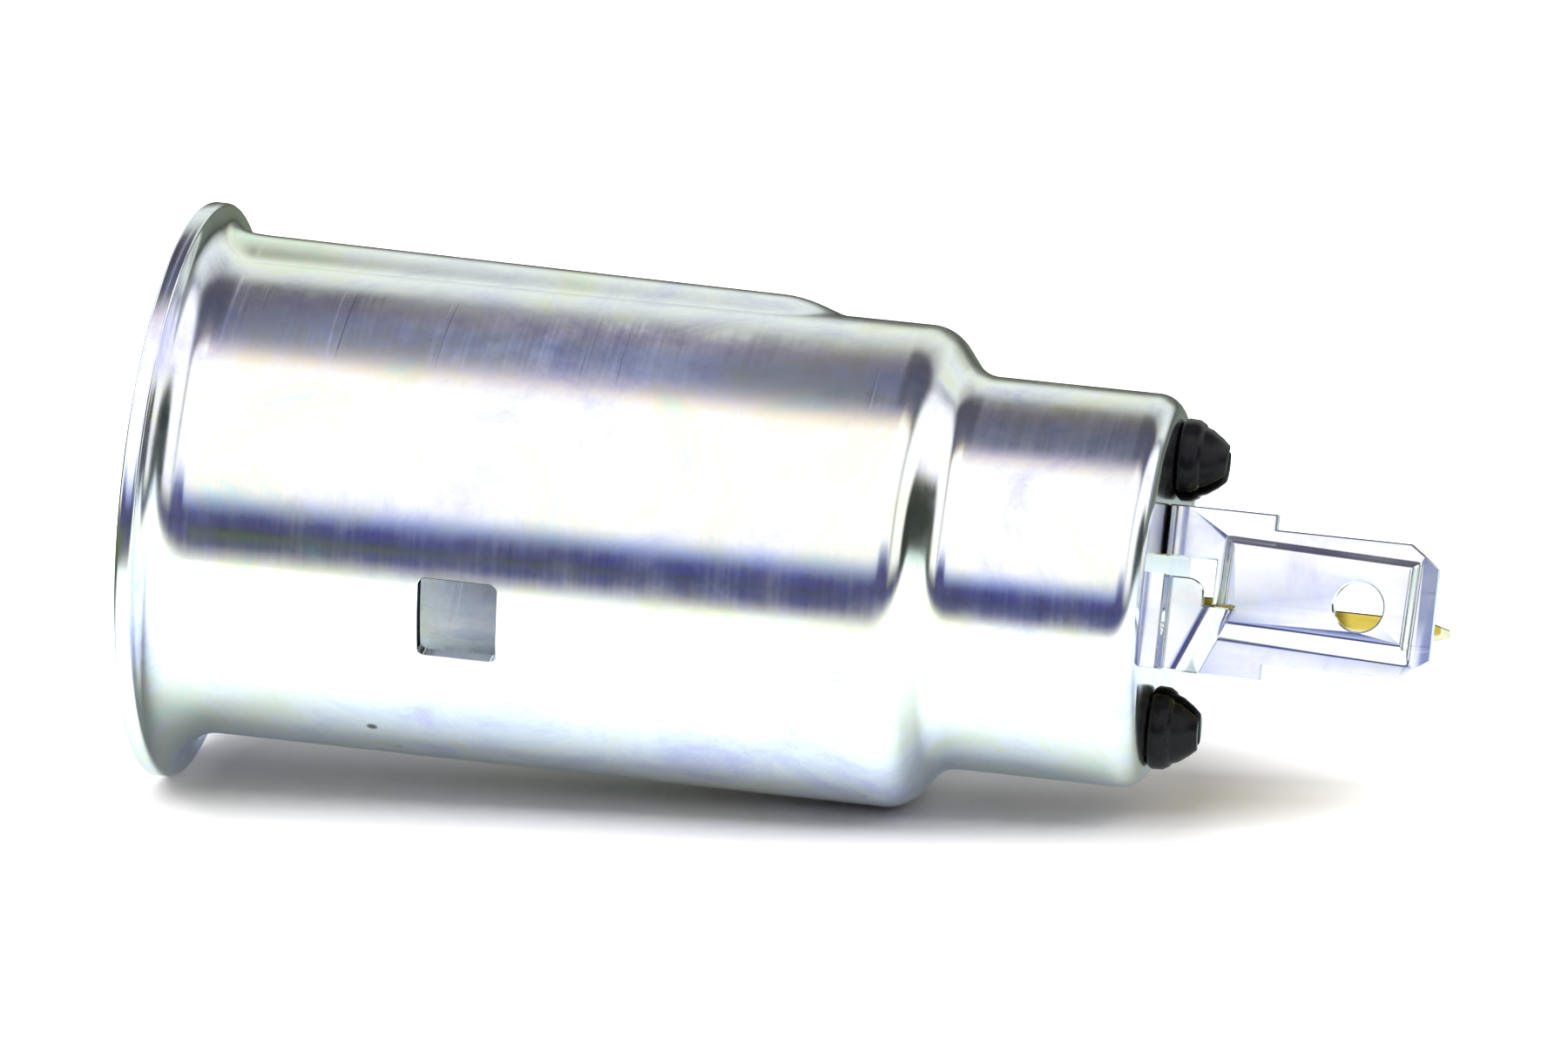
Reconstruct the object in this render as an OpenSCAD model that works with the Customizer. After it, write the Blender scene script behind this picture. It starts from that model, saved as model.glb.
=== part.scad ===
// Twelve volt power socket of a car interior.
// A drawn steel shell takes the plug at its flared mouth. A moulded insulator
// snaps into its rear section and carries the brass contact for the plug's tip.
// Z runs along the axis from the mouth, at Z = 0, to the terminals.
// The flat of the steel ground terminal faces +Y.

/* [Shell] */
// Inside diameter of the barrel, which takes the plug
bore_d = 21; // [20:0.1:22]
// Thickness of the drawn sheet
wall = 0.8; // [0.6:0.05:1]
// Length of the shell from the mouth to the rear wall
shell_len = 46.9; // [44:0.1:52]
// Radius of the flare on its outer side
flare_r = 2.1; // [1.5:0.1:3]
// Flat lip outside the flare
rim_lip = 0.2; // [0.1:0.05:1]
// Distance from the mouth to the start of the shoulder
shoulder_z = 34.75; // [32:0.05:36]
// Outer radius where the barrel turns into the shoulder
shoulder_r = 2; // [1.3:0.1:2.2]
// Outer radius where the shoulder turns into the rear section
neck_r = 1.5; // [1:0.1:1.8]
// Slope of the shoulder against the axis
shoulder_slope = 52; // [40:1:55]
// Outside diameter of the rear section
nose_d = 18.4; // [17.6:0.1:18.8]
// Outer radius round the rear wall
corner_r = 1.2; // [1.1:0.1:1.5]

/* [Key rib] */
// Radius of the rib's rounded section
rib_r = 4; // [3:0.1:5]
// Height of the rib above the barrel
rib_h = 1; // [0.6:0.1:1.3]
// Distance from the mouth to the point where the rib has run out
rib_end = 30; // [20:0.5:32]
// Place of the rib round the axis, from the ground terminal's side
rib_angle = 96; // [80:1:110]

/* [Windows] */
// Size of a window along the axis
window_len = 3.7; // [3:0.1:4]
// Size of a window round the barrel
window_w = 3.9; // [3:0.1:4]
// Radius of a window's corners
window_r = 0.35; // [0.2:0.05:0.6]
// Distance from the mouth to the middle of the windows
window_z = 15.65; // [12:0.05:20]
// Place of the first window round the axis, from the ground terminal's side
window_angle = -26.7; // [-40:0.1:-20]
// Number of windows
window_count = 2; // [1:1:3]

/* [Insulator] */
// Gap between the insulator and the shell
fit_gap = 0.1; // [0.05:0.01:0.2]
// Gap between a snap head or the rivet and the face that it holds
seat_gap = 0.05; // [0.02:0.01:0.1]
// Thickness of the insulator's floor
floor_t = 2.6; // [2.2:0.1:3]
// Height of the insulator's skirt in front of its floor
skirt_h = 3.6; // [2:0.1:4.5]
// Thickness of the skirt
skirt_t = 1; // [0.8:0.1:1.4]
// Height of the collar round the positive tab outside the shell
collar_h = 0.2; // [0.1:0.05:1]
// Thickness of the collar
collar_t = 0.5; // [0.4:0.05:0.6]

/* [Snap posts] */
// Distance of each post from the axis
post_x = 6.25; // [6.1:0.05:6.4]
// Diameter of a post's shank
post_d = 3.2; // [2.8:0.1:3.4]
// Largest diameter of a post's head
head_d = 4.2; // [4:0.1:4.5]
// Diameter at the top of a post's head
head_top_d = 2.6; // [2:0.1:3]
// Height of a post's head
head_h = 2.1; // [1.6:0.1:2.6]
// Height of the straight band at the foot of a head
head_band = 0.5; // [0.3:0.1:0.8]
// Width of the slot that splits a post
post_slot = 0.7; // [0.4:0.1:0.9]
// Depth of the slot below the rear wall's outer face
slot_depth = 0.5; // [0.2:0.1:0.8]

/* [Tabs] */
// Width of both terminal tabs
tab_w = 6.3; // [5.8:0.1:6.5]
// Sheet thickness of both terminals
tab_t = 0.8; // [0.7:0.05:0.9]
// Distance from the rear wall to the tips of the tabs
tab_out = 12.9; // [12:0.1:15]
// Length of the chamfer at each corner of a tip
tip_len = 1.4; // [1:0.1:1.8]
// Width of the chamfer at each corner of a tip
tip_in = 1; // [0.6:0.1:1.4]
// Thickness left at the edge of a tip
tip_t = 0.4; // [0.3:0.05:0.6]
// Length over which a tip is thinned
tip_taper = 0.7; // [0.5:0.1:1]
// Distance from the tips to the middle of the detent holes
detent_from_tip = 3.5; // [3.3:0.1:4]

/* [Ground terminal] */
// Sideways place of the ground tab's middle
ground_x = 0.2; // [-0.3:0.1:0.3]
// Distance from the axis to the front of the ground tab
ground_y = 3.1; // [3:0.05:3.3]
// Distance from the rear wall to the end of the shoulders
ground_root = 5.2; // [4.9:0.1:5.6]
// How far each shoulder stands out beyond the tab
ground_shoulder = 0.75; // [0.4:0.05:0.8]
// Step between the front leg and the tab
joggle = 1.6; // [1.3:0.05:1.7]
// Slope of the step against the axis
joggle_slope = 60; // [50:1:70]
// Radius of the terminals' bends at the middle of the sheet
bend_r = 0.7; // [0.6:0.05:0.8]
// Height of the front leg below its step
leg_rise = 1.6; // [1.4:0.05:1.8]
// Height of the front leg's free edge above the rear wall
front_leg_h = 2.4; // [2.2:0.05:2.6]
// Width of the strip that steps back from the front leg to the tab
step_strip_w = 1.7; // [1.4:0.1:1.9]
// Length of the front foot from the back of its leg
front_foot = 3.3; // [2.6:0.1:3.4]
// Length of the rear foot from the front of its leg
rear_foot = 3.6; // [2.8:0.1:3.8]
// Upper edge of the front leg, measured from the tab's middle
front_leg_top = 0.5; // [0.3:0.05:0.6]
// Width of the rear leg
rear_leg_w = 2.4; // [2:0.1:2.5]
// Width of the raised panel at its foot
panel_w = 4.4; // [4:0.1:4.6]
// Height of the raised panel
panel_h = 0.45; // [0.3:0.05:0.5]
// Width of the bevel along the panel
panel_bevel = 0.85; // [0.6:0.05:1]
// Distance from the rear wall to the lower edge of the tab between its legs
ground_edge = 2.8; // [2.7:0.05:3]
// Distance from that edge to the raised panel
panel_gap = 0.25; // [0.2:0.05:0.5]
// Distance from the tip to the end of the raised panel
panel_from_tip = 0.8; // [0.75:0.05:1.1]
// Diameter of the hole in the ground tab
ground_hole_d = 2.3; // [1.8:0.1:2.4]
// Diameter of a weld mark on the feet
weld_d = 1.3; // [1:0.1:1.6]
// Depth of a weld mark
weld_depth = 0.15; // [0.1:0.05:0.25]

/* [Positive terminal] */
// Sideways place of the positive tab's middle
positive_x = -0.4; // [-0.5:0.05:0]
// Distance from the axis to the near edge of the positive tab
positive_edge = 0.8; // [0.6:0.05:0.9]
// Length of the inner foot from the tab's middle plane
foot_len = 5; // [4.8:0.1:5.3]
// Width of the inner foot
foot_w = 4.4; // [4:0.1:4.8]
// Diameter of the hole in the positive tab
positive_hole_d = 1.7; // [1.4:0.1:2]

/* [Contact spring] */
// Thickness of the spring sheet
spring_t = 0.5; // [0.4:0.05:0.6]
// Width of the spring
spring_w = 3.8; // [3.4:0.1:4.4]
// Radius of the spring's return bend at the middle of the sheet
spring_bend_r = 1.1; // [1:0.05:1.2]
// Slope of the leaf on both sides of its crown
leaf_slope = 30; // [26:1:32]
// Radius of the leaf's crown
crown_r = 6; // [5:0.1:6.4]
// Reach of the leaf beyond the axis
leaf_reach = 5; // [4.4:0.1:5.4]

/* [Rivet] */
// Diameter of the rivet's shank
rivet_d = 2.2; // [1.9:0.1:2.3]
// Diameter of the rivet's head
rivet_head_d = 3; // [2.8:0.1:3.3]
// Height of the rivet's head
rivet_head_h = 0.7; // [0.5:0.05:0.9]
// Diameter of the rivet's rolled end
rivet_roll_d = 3; // [2.8:0.1:3.1]
// Thickness of the rolled end
rivet_roll_h = 0.5; // [0.4:0.05:0.6]
// Diameter of the hole up the rivet's end
rivet_bore_d = 1.2; // [0.8:0.1:1.3]

/* [Hidden] */
$fn = 96;

// Steps of a bend's arc
bend_steps = 8;
// How far a cut runs past the face that it opens
over = 1;

bore_r = bore_d / 2;
body_r = bore_r + wall;
flare_x = body_r + flare_r;
rim_r = flare_x + rim_lip;
nose_r = nose_d / 2;
nose_bore_r = nose_r - wall;
wall_in_z = shell_len - wall;

floor_z = wall_in_z - floor_t;
insulator_r = nose_bore_r - fit_gap;
insulator_edge = corner_r - wall + fit_gap;
skirt_z = floor_z - skirt_h;

rib_centre = body_r + rib_h - rib_r;
rib_run = sqrt(rib_r * rib_r - pow(rib_r - rib_h, 2));
rib_end_z = rib_end - rib_run;

tip_z = shell_len + tab_out;
detent_z = tip_z - detent_from_tip;

positive_y = positive_edge - tab_w / 2;
rivet_x = positive_x + tab_t / 2 + bend_r + rivet_d / 2 + 2 * fit_gap;
spring_z = floor_z - tab_t - spring_t / 2;

ground_mid = ground_y - tab_t / 2;
front_leg_mid = ground_mid + joggle;
shoulder_x = tab_w / 2 + ground_shoulder;
joggle_z = shell_len + tab_t / 2 + leg_rise;
joggle_end_z = joggle_z + s_bend_len(joggle, bend_r, bend_r, joggle_slope);
root_z = shell_len + ground_root;
panel_end_z = tip_z - panel_from_tip;
ground_edge_z = shell_len + ground_edge;
panel_start_z = ground_edge_z + panel_gap;

// Points of an arc about c, from angle a0 to a1
function arc(c, r, a0, a1, n = bend_steps) =
    [for (i = [0:n]) c + r * [cos(a0 + (a1 - a0) * i / n), sin(a0 + (a1 - a0) * i / n)]];

function unit(v) = v / norm(v);

function side(v) = [-v.y, v.x];

// Length along the second axis of a double bend that steps sideways by drop
function s_bend_len(drop, r1, r2, a) =
    (r1 + r2) * sin(a) + (drop - (r1 + r2) * (1 - cos(a))) / tan(a);

// A double bend from start: it leaves along the second axis and steps back by
// drop, and t moves both arcs to the inner side of a sheet
function s_bend(start, drop, r1, r2, a, t = 0) = concat(
    arc([start.x - r1, start.y], r1 - t, 0, a),
    arc([start.x - drop + r2, start.y + s_bend_len(drop, r1, r2, a)], r2 + t, 180 + a, 180));

// Normal of a path at point i, long enough to keep the sheet's thickness in a bend
function path_normal(path, i) =
    let (before = unit(path[max(i, 1)] - path[max(i, 1) - 1]),
         after = unit(path[min(i, len(path) - 2) + 1] - path[min(i, len(path) - 2)]),
         n = unit(side(before) + side(after)))
    n / (n * side(before));

// Outline of a bent sheet of thickness t along the middle line path
function sheet(path, t) = concat(
    [for (i = [0:len(path) - 1]) path[i] + path_normal(path, i) * t / 2],
    [for (i = [len(path) - 1:-1:0]) path[i] - path_normal(path, i) * t / 2]);

// Half section of the shell's sheet at depth t below its outer side
function skin(t) = concat(
    arc([flare_x, wall + flare_r], flare_r + t, 270, 180, 12),
    s_bend([body_r, shoulder_z], body_r - nose_r, shoulder_r, neck_r, shoulder_slope, t),
    arc([nose_r - corner_r, shell_len - corner_r], corner_r - t, 0, 90),
    [[0, shell_len - t]]);

// Puts its children on the side of the shell at an angle from +Y toward +X
module around(angle) rotate([0, 0, -angle]) children();

// Extrudes an outline drawn in Y and Z along X, from x0 to x1
module along_x(x0, x1)
    translate([x0, 0, 0]) rotate([90, 0, 90]) linear_extrude(x1 - x0) children();

// Extrudes an outline drawn in X and Z along Y, from y0 to y1
module along_y(y0, y1)
    translate([0, y1, 0]) rotate([90, 0, 0]) linear_extrude(y1 - y0) children();

// The rounded rib, or the groove behind it, of section radius r
module rib_form(r, start) {
    around(rib_angle) translate([0, rib_centre, 0]) {
        translate([0, 0, start]) cylinder(r = r, h = rib_end_z - start);
        translate([0, 0, rib_end_z]) sphere(r = r);
    }
}

// One window's cut through the wall, with round corners
module window_cut() {
    translate([0, bore_r - over, window_z]) rotate([-90, 0, 0]) {
        translate([-window_w / 2 + window_r, -window_len / 2, 0])
            cube([window_w - 2 * window_r, window_len, wall + 2 * over]);
        translate([-window_w / 2, -window_len / 2 + window_r, 0])
            cube([window_w, window_len - 2 * window_r, wall + 2 * over]);
        for (x = [-1, 1], z = [-1, 1])
            translate([x * (window_w / 2 - window_r), z * (window_len / 2 - window_r), 0])
                cylinder(r = window_r, h = wall + 2 * over);
    }
}

// Block round the positive tab, with a gap on every side
module tab_passage(gap, z0, z1)
    translate([positive_x - tab_t / 2 - gap, positive_y - tab_w / 2 - gap, z0])
        cube([tab_t + 2 * gap, tab_w + 2 * gap, z1 - z0]);

// A tab with a chamfered and thinned tip: width along X, thickness along Y
module tab(z0) {
    intersection() {
        along_y(-tab_t, tab_t) polygon([
            [-tab_w / 2, z0], [tab_w / 2, z0], [tab_w / 2, tip_z - tip_len],
            [tab_w / 2 - tip_in, tip_z], [-tab_w / 2 + tip_in, tip_z], [-tab_w / 2, tip_z - tip_len]]);
        along_x(-tab_w, tab_w) polygon([
            [-tab_t / 2, z0], [tab_t / 2, z0], [tab_t / 2, tip_z - tip_taper],
            [tip_t / 2, tip_z], [-tip_t / 2, tip_z], [-tab_t / 2, tip_z - tip_taper]]);
    }
}

// The raised panel as a low frustum whose foot lies at y0: grow widens it all
// round, and its top stands h above the foot
module panel_form(y0, h, grow) {
    half = panel_w / 2 + grow;
    low = panel_start_z - grow;
    high = panel_end_z + grow;
    intersection() {
        translate([0, 0, low]) linear_extrude(high - low) polygon([
            [-half, y0], [half, y0], [half - panel_bevel, y0 + h], [-half + panel_bevel, y0 + h]]);
        along_x(-half, half) polygon([
            [y0, low], [y0, high], [y0 + h, high - panel_bevel], [y0 + h, low + panel_bevel]]);
    }
}

// Drawn, pierced and zinc plated steel shell
module shell() {
    color("lightsteelblue") difference() {
        union() {
            rotate_extrude() polygon(concat(skin(0), [[0, 0], [rim_r, 0], [rim_r, wall]]));
            rib_form(rib_r, wall);
        }
        rotate_extrude() polygon(concat(skin(wall), [[0, -over], [flare_x, -over]]));
        rib_form(rib_r - wall, -over);
        for (i = [0:window_count - 1])
            around(window_angle + i * 360 / window_count) window_cut();
        for (s = [-1, 1])
            translate([s * post_x, 0, wall_in_z - over])
                cylinder(d = post_d + 2 * fit_gap, h = wall + 2 * over);
        tab_passage(collar_t + 2 * fit_gap, wall_in_z - over, shell_len + over);
    }
}

// One split post with its snap head, on the insulator's rear face
module snap_post() {
    head_z = shell_len + seat_gap;
    difference() {
        union() {
            translate([0, 0, wall_in_z - seat_gap]) cylinder(d = post_d, h = wall + 2 * seat_gap);
            translate([0, 0, head_z]) cylinder(d = head_d, h = head_band);
            translate([0, 0, head_z + head_band])
                cylinder(d1 = head_d, d2 = head_top_d, h = head_h - head_band);
        }
        translate([-head_d, -post_slot / 2, shell_len - slot_depth])
            cube([2 * head_d, post_slot, slot_depth + head_h + over]);
    }
}

// Black moulded cup in the rear section, with two snap posts and a collar
module insulator() {
    color("black") difference() {
        union() {
            rotate_extrude() polygon([
                [0, floor_z], [insulator_r - skirt_t, floor_z], [insulator_r - skirt_t, skirt_z],
                [insulator_r, skirt_z], [insulator_r, wall_in_z - insulator_edge],
                [insulator_r - insulator_edge, wall_in_z], [0, wall_in_z]]);
            for (s = [-1, 1]) translate([s * post_x, 0, 0]) snap_post();
            tab_passage(collar_t + fit_gap, wall_in_z - over, shell_len + collar_h);
        }
        tab_passage(fit_gap, floor_z - over, shell_len + collar_h + over);
        translate([positive_x, positive_y - tab_w / 2 - fit_gap, floor_z - over])
            cube([tab_t / 2 + bend_r, tab_w + 2 * fit_gap, over + bend_r]);
        translate([rivet_x, 0, floor_z - over])
            cylinder(d = rivet_d + 2 * fit_gap, h = floor_t + 2 * over);
        translate([rivet_x, 0, wall_in_z - rivet_roll_h - 2 * fit_gap])
            cylinder(d = rivet_roll_d + 2 * fit_gap, h = over + rivet_roll_h);
    }
}

// Steel ground terminal: two feet on the rear wall, a raised panel and a hole
module ground_terminal() {
    foot_z = shell_len + tab_t / 2;
    rise_z = foot_z + bend_r;
    front_path = concat(
        [[front_leg_mid - tab_t / 2 + front_foot, foot_z]],
        arc([front_leg_mid + bend_r, rise_z], bend_r, 270, 180),
        s_bend([front_leg_mid, joggle_z], joggle, bend_r, bend_r, joggle_slope),
        [[ground_mid, root_z]]);
    rear_path = concat(
        [[ground_mid + tab_t / 2 - rear_foot, foot_z]],
        arc([ground_mid - bend_r, rise_z], bend_r, -90, 0),
        [[ground_mid, root_z]]);
    leg_end_z = shell_len + front_leg_h;
    color("silver") translate([ground_x, 0, 0]) difference() {
        union() {
            intersection() {
                along_x(-shoulder_x, front_leg_top) polygon(sheet(front_path, tab_t));
                translate([-ground_x, 0, shell_len]) cylinder(r = nose_r - corner_r - fit_gap, h = front_leg_h);
            }
            along_x(-shoulder_x, step_strip_w - shoulder_x) difference() {
                polygon(sheet(front_path, tab_t));
                translate([0, shell_len]) square([nose_r, leg_end_z - shell_len - bend_r]);
            }
            along_x(shoulder_x - rear_leg_w, shoulder_x) polygon(sheet(rear_path, tab_t));
            along_y(ground_y - tab_t, ground_y) {
                translate([-shoulder_x, joggle_end_z]) square([2 * shoulder_x, root_z - joggle_end_z]);
                translate([step_strip_w + fit_gap - shoulder_x, ground_edge_z])
                    square([2 * shoulder_x - step_strip_w - fit_gap, root_z - ground_edge_z]);
            }
            translate([0, ground_mid, 0]) tab(root_z - over);
            panel_form(ground_y, panel_h, 0);
        }
        panel_form(ground_y - tab_t, panel_h, -tab_t / 4);
        translate([0, ground_y + over, detent_z]) rotate([90, 0, 0])
            cylinder(d = ground_hole_d, h = tab_t + 2 * over);
        translate([(front_leg_top - shoulder_x) / 2, front_leg_mid + front_foot / 2, shell_len + tab_t - weld_depth])
            cylinder(d = weld_d, h = over);
        translate([shoulder_x - rear_leg_w / 2, ground_mid - rear_foot / 2, shell_len + tab_t - weld_depth])
            cylinder(d = weld_d, h = over);
    }
}

// Brass positive terminal: a tab edge-on to the ground tab and a foot inside
module positive_terminal() {
    foot_z = floor_z - tab_t / 2;
    path = concat([[foot_len, foot_z]], arc([bend_r, foot_z + bend_r], bend_r, 270, 180), [[0, shell_len]]);
    color("gold") translate([positive_x, 0, 0]) difference() {
        union() {
            intersection() {
                along_y(positive_y - tab_w / 2, positive_edge) polygon(sheet(path, tab_t));
                union() {
                    translate([-tab_t, positive_y - tab_w / 2, skirt_z])
                        cube([tab_t + bend_r + tab_t / 2, tab_w, tip_z - skirt_z]);
                    translate([0, -foot_w / 2, skirt_z]) cube([foot_len, foot_w, tip_z - skirt_z]);
                }
            }
            along_y(-foot_w / 2, foot_w / 2) translate([bend_r + tab_t / 2, floor_z - tab_t])
                square([foot_len - bend_r - tab_t / 2, tab_t]);
            translate([0, positive_y, 0]) rotate([0, 0, 90]) tab(shell_len - over);
        }
        translate([-over, positive_y, detent_z]) rotate([0, 90, 0])
            cylinder(d = positive_hole_d, h = 2 * over);
        translate([rivet_x - positive_x, 0, floor_z - tab_t - over])
            cylinder(d = rivet_d + 2 * fit_gap, h = tab_t + 2 * over);
    }
}

// Spring leaf that the plug's tip presses on, bent back over its base
module contact_spring() {
    base_end = rivet_x + rivet_head_d / 2 + fit_gap;
    turn = 90 + leaf_slope;
    leaf_x = base_end + spring_bend_r * sin(leaf_slope);
    leaf_z = spring_z - spring_bend_r * (1 + cos(leaf_slope));
    crown_x = crown_r * sin(leaf_slope);
    crown_mid_z = leaf_z - (leaf_x - crown_x) * tan(leaf_slope) + crown_r * cos(leaf_slope);
    path = concat(
        [[rivet_x - rivet_head_d / 2, spring_z]],
        arc([base_end, spring_z - spring_bend_r], spring_bend_r, 90, leaf_slope - 90),
        arc([0, crown_mid_z], crown_r, leaf_slope - 90, -turn),
        [[-leaf_reach, crown_mid_z - crown_r * cos(leaf_slope) + (leaf_reach - crown_x) * tan(leaf_slope)]]);
    color("darkgoldenrod") difference() {
        along_y(-spring_w / 2, spring_w / 2) polygon(sheet(path, spring_t));
        translate([rivet_x, 0, spring_z - spring_t]) cylinder(d = rivet_d + 2 * fit_gap, h = 2 * spring_t);
    }
}

// Rivet that clamps the spring and the positive foot to the insulator
module contact_rivet() {
    base_z = spring_z - spring_t / 2;
    roll_z = wall_in_z - rivet_roll_h - fit_gap;
    color("goldenrod") translate([rivet_x, 0, 0]) difference() {
        union() {
            translate([0, 0, base_z - rivet_head_h])
                cylinder(d1 = rivet_head_d - rivet_head_h, d2 = rivet_head_d, h = rivet_head_h);
            translate([0, 0, base_z - seat_gap]) cylinder(d = rivet_d, h = roll_z - base_z + 2 * seat_gap);
            translate([0, 0, roll_z]) cylinder(d = rivet_roll_d, h = rivet_roll_h);
        }
        translate([0, 0, floor_z]) cylinder(d = rivet_bore_d, h = floor_t + over);
    }
}

shell();
insulator();
ground_terminal();
positive_terminal();
contact_spring();
contact_rivet();
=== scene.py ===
from math import asin, cos, hypot, pi, radians as rad, remainder, sin, sqrt, tan

import bmesh
import bpy
from mathutils import Matrix, Vector
from mathutils.geometry import delaunay_2d_cdt


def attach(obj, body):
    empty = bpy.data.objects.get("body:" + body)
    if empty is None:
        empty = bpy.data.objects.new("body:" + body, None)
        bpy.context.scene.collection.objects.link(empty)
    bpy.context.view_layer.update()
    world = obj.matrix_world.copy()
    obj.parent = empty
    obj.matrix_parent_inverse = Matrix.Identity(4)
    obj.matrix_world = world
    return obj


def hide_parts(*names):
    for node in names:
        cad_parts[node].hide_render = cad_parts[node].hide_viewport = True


# Sizes are in millimetres, as in the part's source, and the meshes are made in metres.
# Z runs along the socket from its mouth, and the flat of the ground tab faces +Y.

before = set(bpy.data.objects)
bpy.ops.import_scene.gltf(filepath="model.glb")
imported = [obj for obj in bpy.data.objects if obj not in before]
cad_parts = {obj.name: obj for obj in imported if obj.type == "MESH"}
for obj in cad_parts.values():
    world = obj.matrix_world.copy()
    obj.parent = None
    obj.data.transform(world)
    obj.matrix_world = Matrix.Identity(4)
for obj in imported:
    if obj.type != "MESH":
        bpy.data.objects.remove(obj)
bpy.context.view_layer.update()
mm = 0.001
fullTurn = 2 * pi
samePoint = 1e-4  # points of one mesh that are closer are joined
flatPoint = 1e-5  # the same in a flat outline
sameLength = 1e-7  # lengths along a path that differ by less are the same
bendSteps = 8  # straight parts in an arc

view = {
    "eye": (-14.07, 500, 113.74),
    "target": (1.383, 0, 28.644),
    "up": (0.99339, 0.04841, -0.10406),
    "lens": 249.34,
    "sensor": 36,
    "clip": (0.05, 20),
}


def linkObject(name, data):
    made = bpy.data.objects.new(name, data)
    bpy.context.scene.collection.objects.link(made)
    return made


def meshObject(name, mesh):
    data = bpy.data.meshes.new(name)
    mesh.to_mesh(data)
    mesh.free()
    return linkObject(name, data)


def makeCamera():
    data = bpy.data.cameras.new("photoCamera")
    data.lens, data.sensor_width = view["lens"], view["sensor"]
    data.clip_start, data.clip_end = view["clip"]
    camera = linkObject("photoCamera", data)
    eye, up = Vector(view["eye"]), Vector(view["up"])
    ahead = (Vector(view["target"]) - eye).normalized()
    right = ahead.cross(up).normalized()
    turn = Matrix((right, right.cross(ahead), -ahead)).transposed()
    camera.matrix_world = Matrix.Translation(eye * mm) @ turn.to_4x4()
    bpy.context.scene.camera = camera


makeCamera()
print("camera ready")


# Shapes that more than one piece uses

def arc(centre, radius, start, end, steps=bendSteps):
    turn = [rad(start + (end - start) * i / steps) for i in range(steps + 1)]
    return [(centre[0] + radius * cos(a), centre[1] + radius * sin(a)) for a in turn]


def doubleBendLength(drop, r1, r2, slope):
    a = rad(slope)
    return (r1 + r2) * sin(a) + (drop - (r1 + r2) * (1 - cos(a))) / tan(a)


# Leaves start along the second axis and steps back by drop. Depth moves both arcs inward.
def doubleBend(start, drop, r1, r2, slope, depth=0, steps=bendSteps):
    length = doubleBendLength(drop, r1, r2, slope)
    first = arc((start[0] - r1, start[1]), r1 - depth, 0, slope, steps)
    second = arc((start[0] - drop + r2, start[1] + length), r2 + depth, 180 + slope, 180, steps)
    return first + second


def softMax(a, b, soft):
    return max(a, b) + max(soft - abs(a - b), 0) ** 2 / (4 * soft)


def isInside(point, loop):
    odd = False
    for (ax, ay), (bx, by) in zip(loop, loop[1:] + loop[:1]):
        if (ay > point[1]) != (by > point[1]) and point[0] < ax + (point[1] - ay) * (bx - ax) / (by - ay):
            odd = not odd
    return odd


def apart(a, b):
    return remainder(a - b, fullTurn)


# Triangles between an outline and its holes: all points, the triangles, and where each given point went
def fillFlat(outline, holes=(), creases=(), lines=()):
    points, edges = [], []
    for loop in [outline, *holes, *creases]:
        first = len(points)
        points += [Vector(p) for p in loop]
        edges += [(first + i, first + (i + 1) % len(loop)) for i in range(len(loop))]
    found, _, faces, origins, _, _ = delaunay_2d_cdt(points, edges + list(lines), [], 0, flatPoint)
    kept = []
    for face in faces:
        middle = sum((found[i] for i in face), Vector((0, 0))) / 3
        if isInside(middle, outline) and not any(isInside(middle, hole) for hole in holes):
            kept.append(list(face))
    places = {given: i for i, came in enumerate(origins) for given in came}
    return found, kept, places


def circle(centre, radius, count, clockwise=False):
    turn = -1 if clockwise else 1
    return [(centre[0] + radius * cos(turn * fullTurn * i / count),
             centre[1] + radius * sin(turn * fullTurn * i / count)) for i in range(count)]


# The step to the left at a corner that keeps both of its sides at the distance
def cornerStep(before, after, distance):
    n1, n2 = Vector((-before.y, before.x)), Vector((-after.y, after.x))
    return (n1 + n2) * distance / (1 + n1.dot(n2))


# Moves each corner of a loop to its left, which is inward where the loop runs counterclockwise
def insetLoop(loop, distance):
    points = [Vector(p) for p in loop]
    ways = [(b - a).normalized() for a, b in zip(points, points[1:] + points[:1])]
    return [tuple(point + cornerStep(ways[i - 1], ways[i], distance)) for i, point in enumerate(points)]


# Gives a function for the point of a bent path at a length from its start, moved sideways by offset
def pathPlace(path):
    points = [Vector(p) for p in path]
    steps = [b - a for a, b in zip(points, points[1:])]
    lengths = [0]
    for step in steps:
        lengths.append(lengths[-1] + step.length)
    ways = [step.normalized() for step in steps]
    normals = [cornerStep(before, after, 1) for before, after in zip(ways[:1] + ways, ways + ways[-1:])]

    def place(length, offset):
        i = 0
        while i < len(points) - 2 and lengths[i + 1] < length - sameLength:
            i += 1
        share = (length - lengths[i]) / (lengths[i + 1] - lengths[i])
        return points[i].lerp(points[i + 1], share) + normals[i].lerp(normals[i + 1], share) * offset

    return place, lengths


def finishMesh(name, mesh, material, node, sharp=32):
    bmesh.ops.remove_doubles(mesh, verts=mesh.verts, dist=samePoint)
    bmesh.ops.recalc_face_normals(mesh, faces=mesh.faces)
    bmesh.ops.scale(mesh, vec=(mm, mm, mm), verts=mesh.verts)
    piece = meshObject(name, mesh)
    piece.data.polygons.foreach_set("use_smooth", [True] * len(piece.data.polygons))
    piece.data.set_sharp_from_angle(angle=rad(sharp))
    piece.data.materials.append(material)
    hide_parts(node)
    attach(piece, "root")
    return piece


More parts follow.
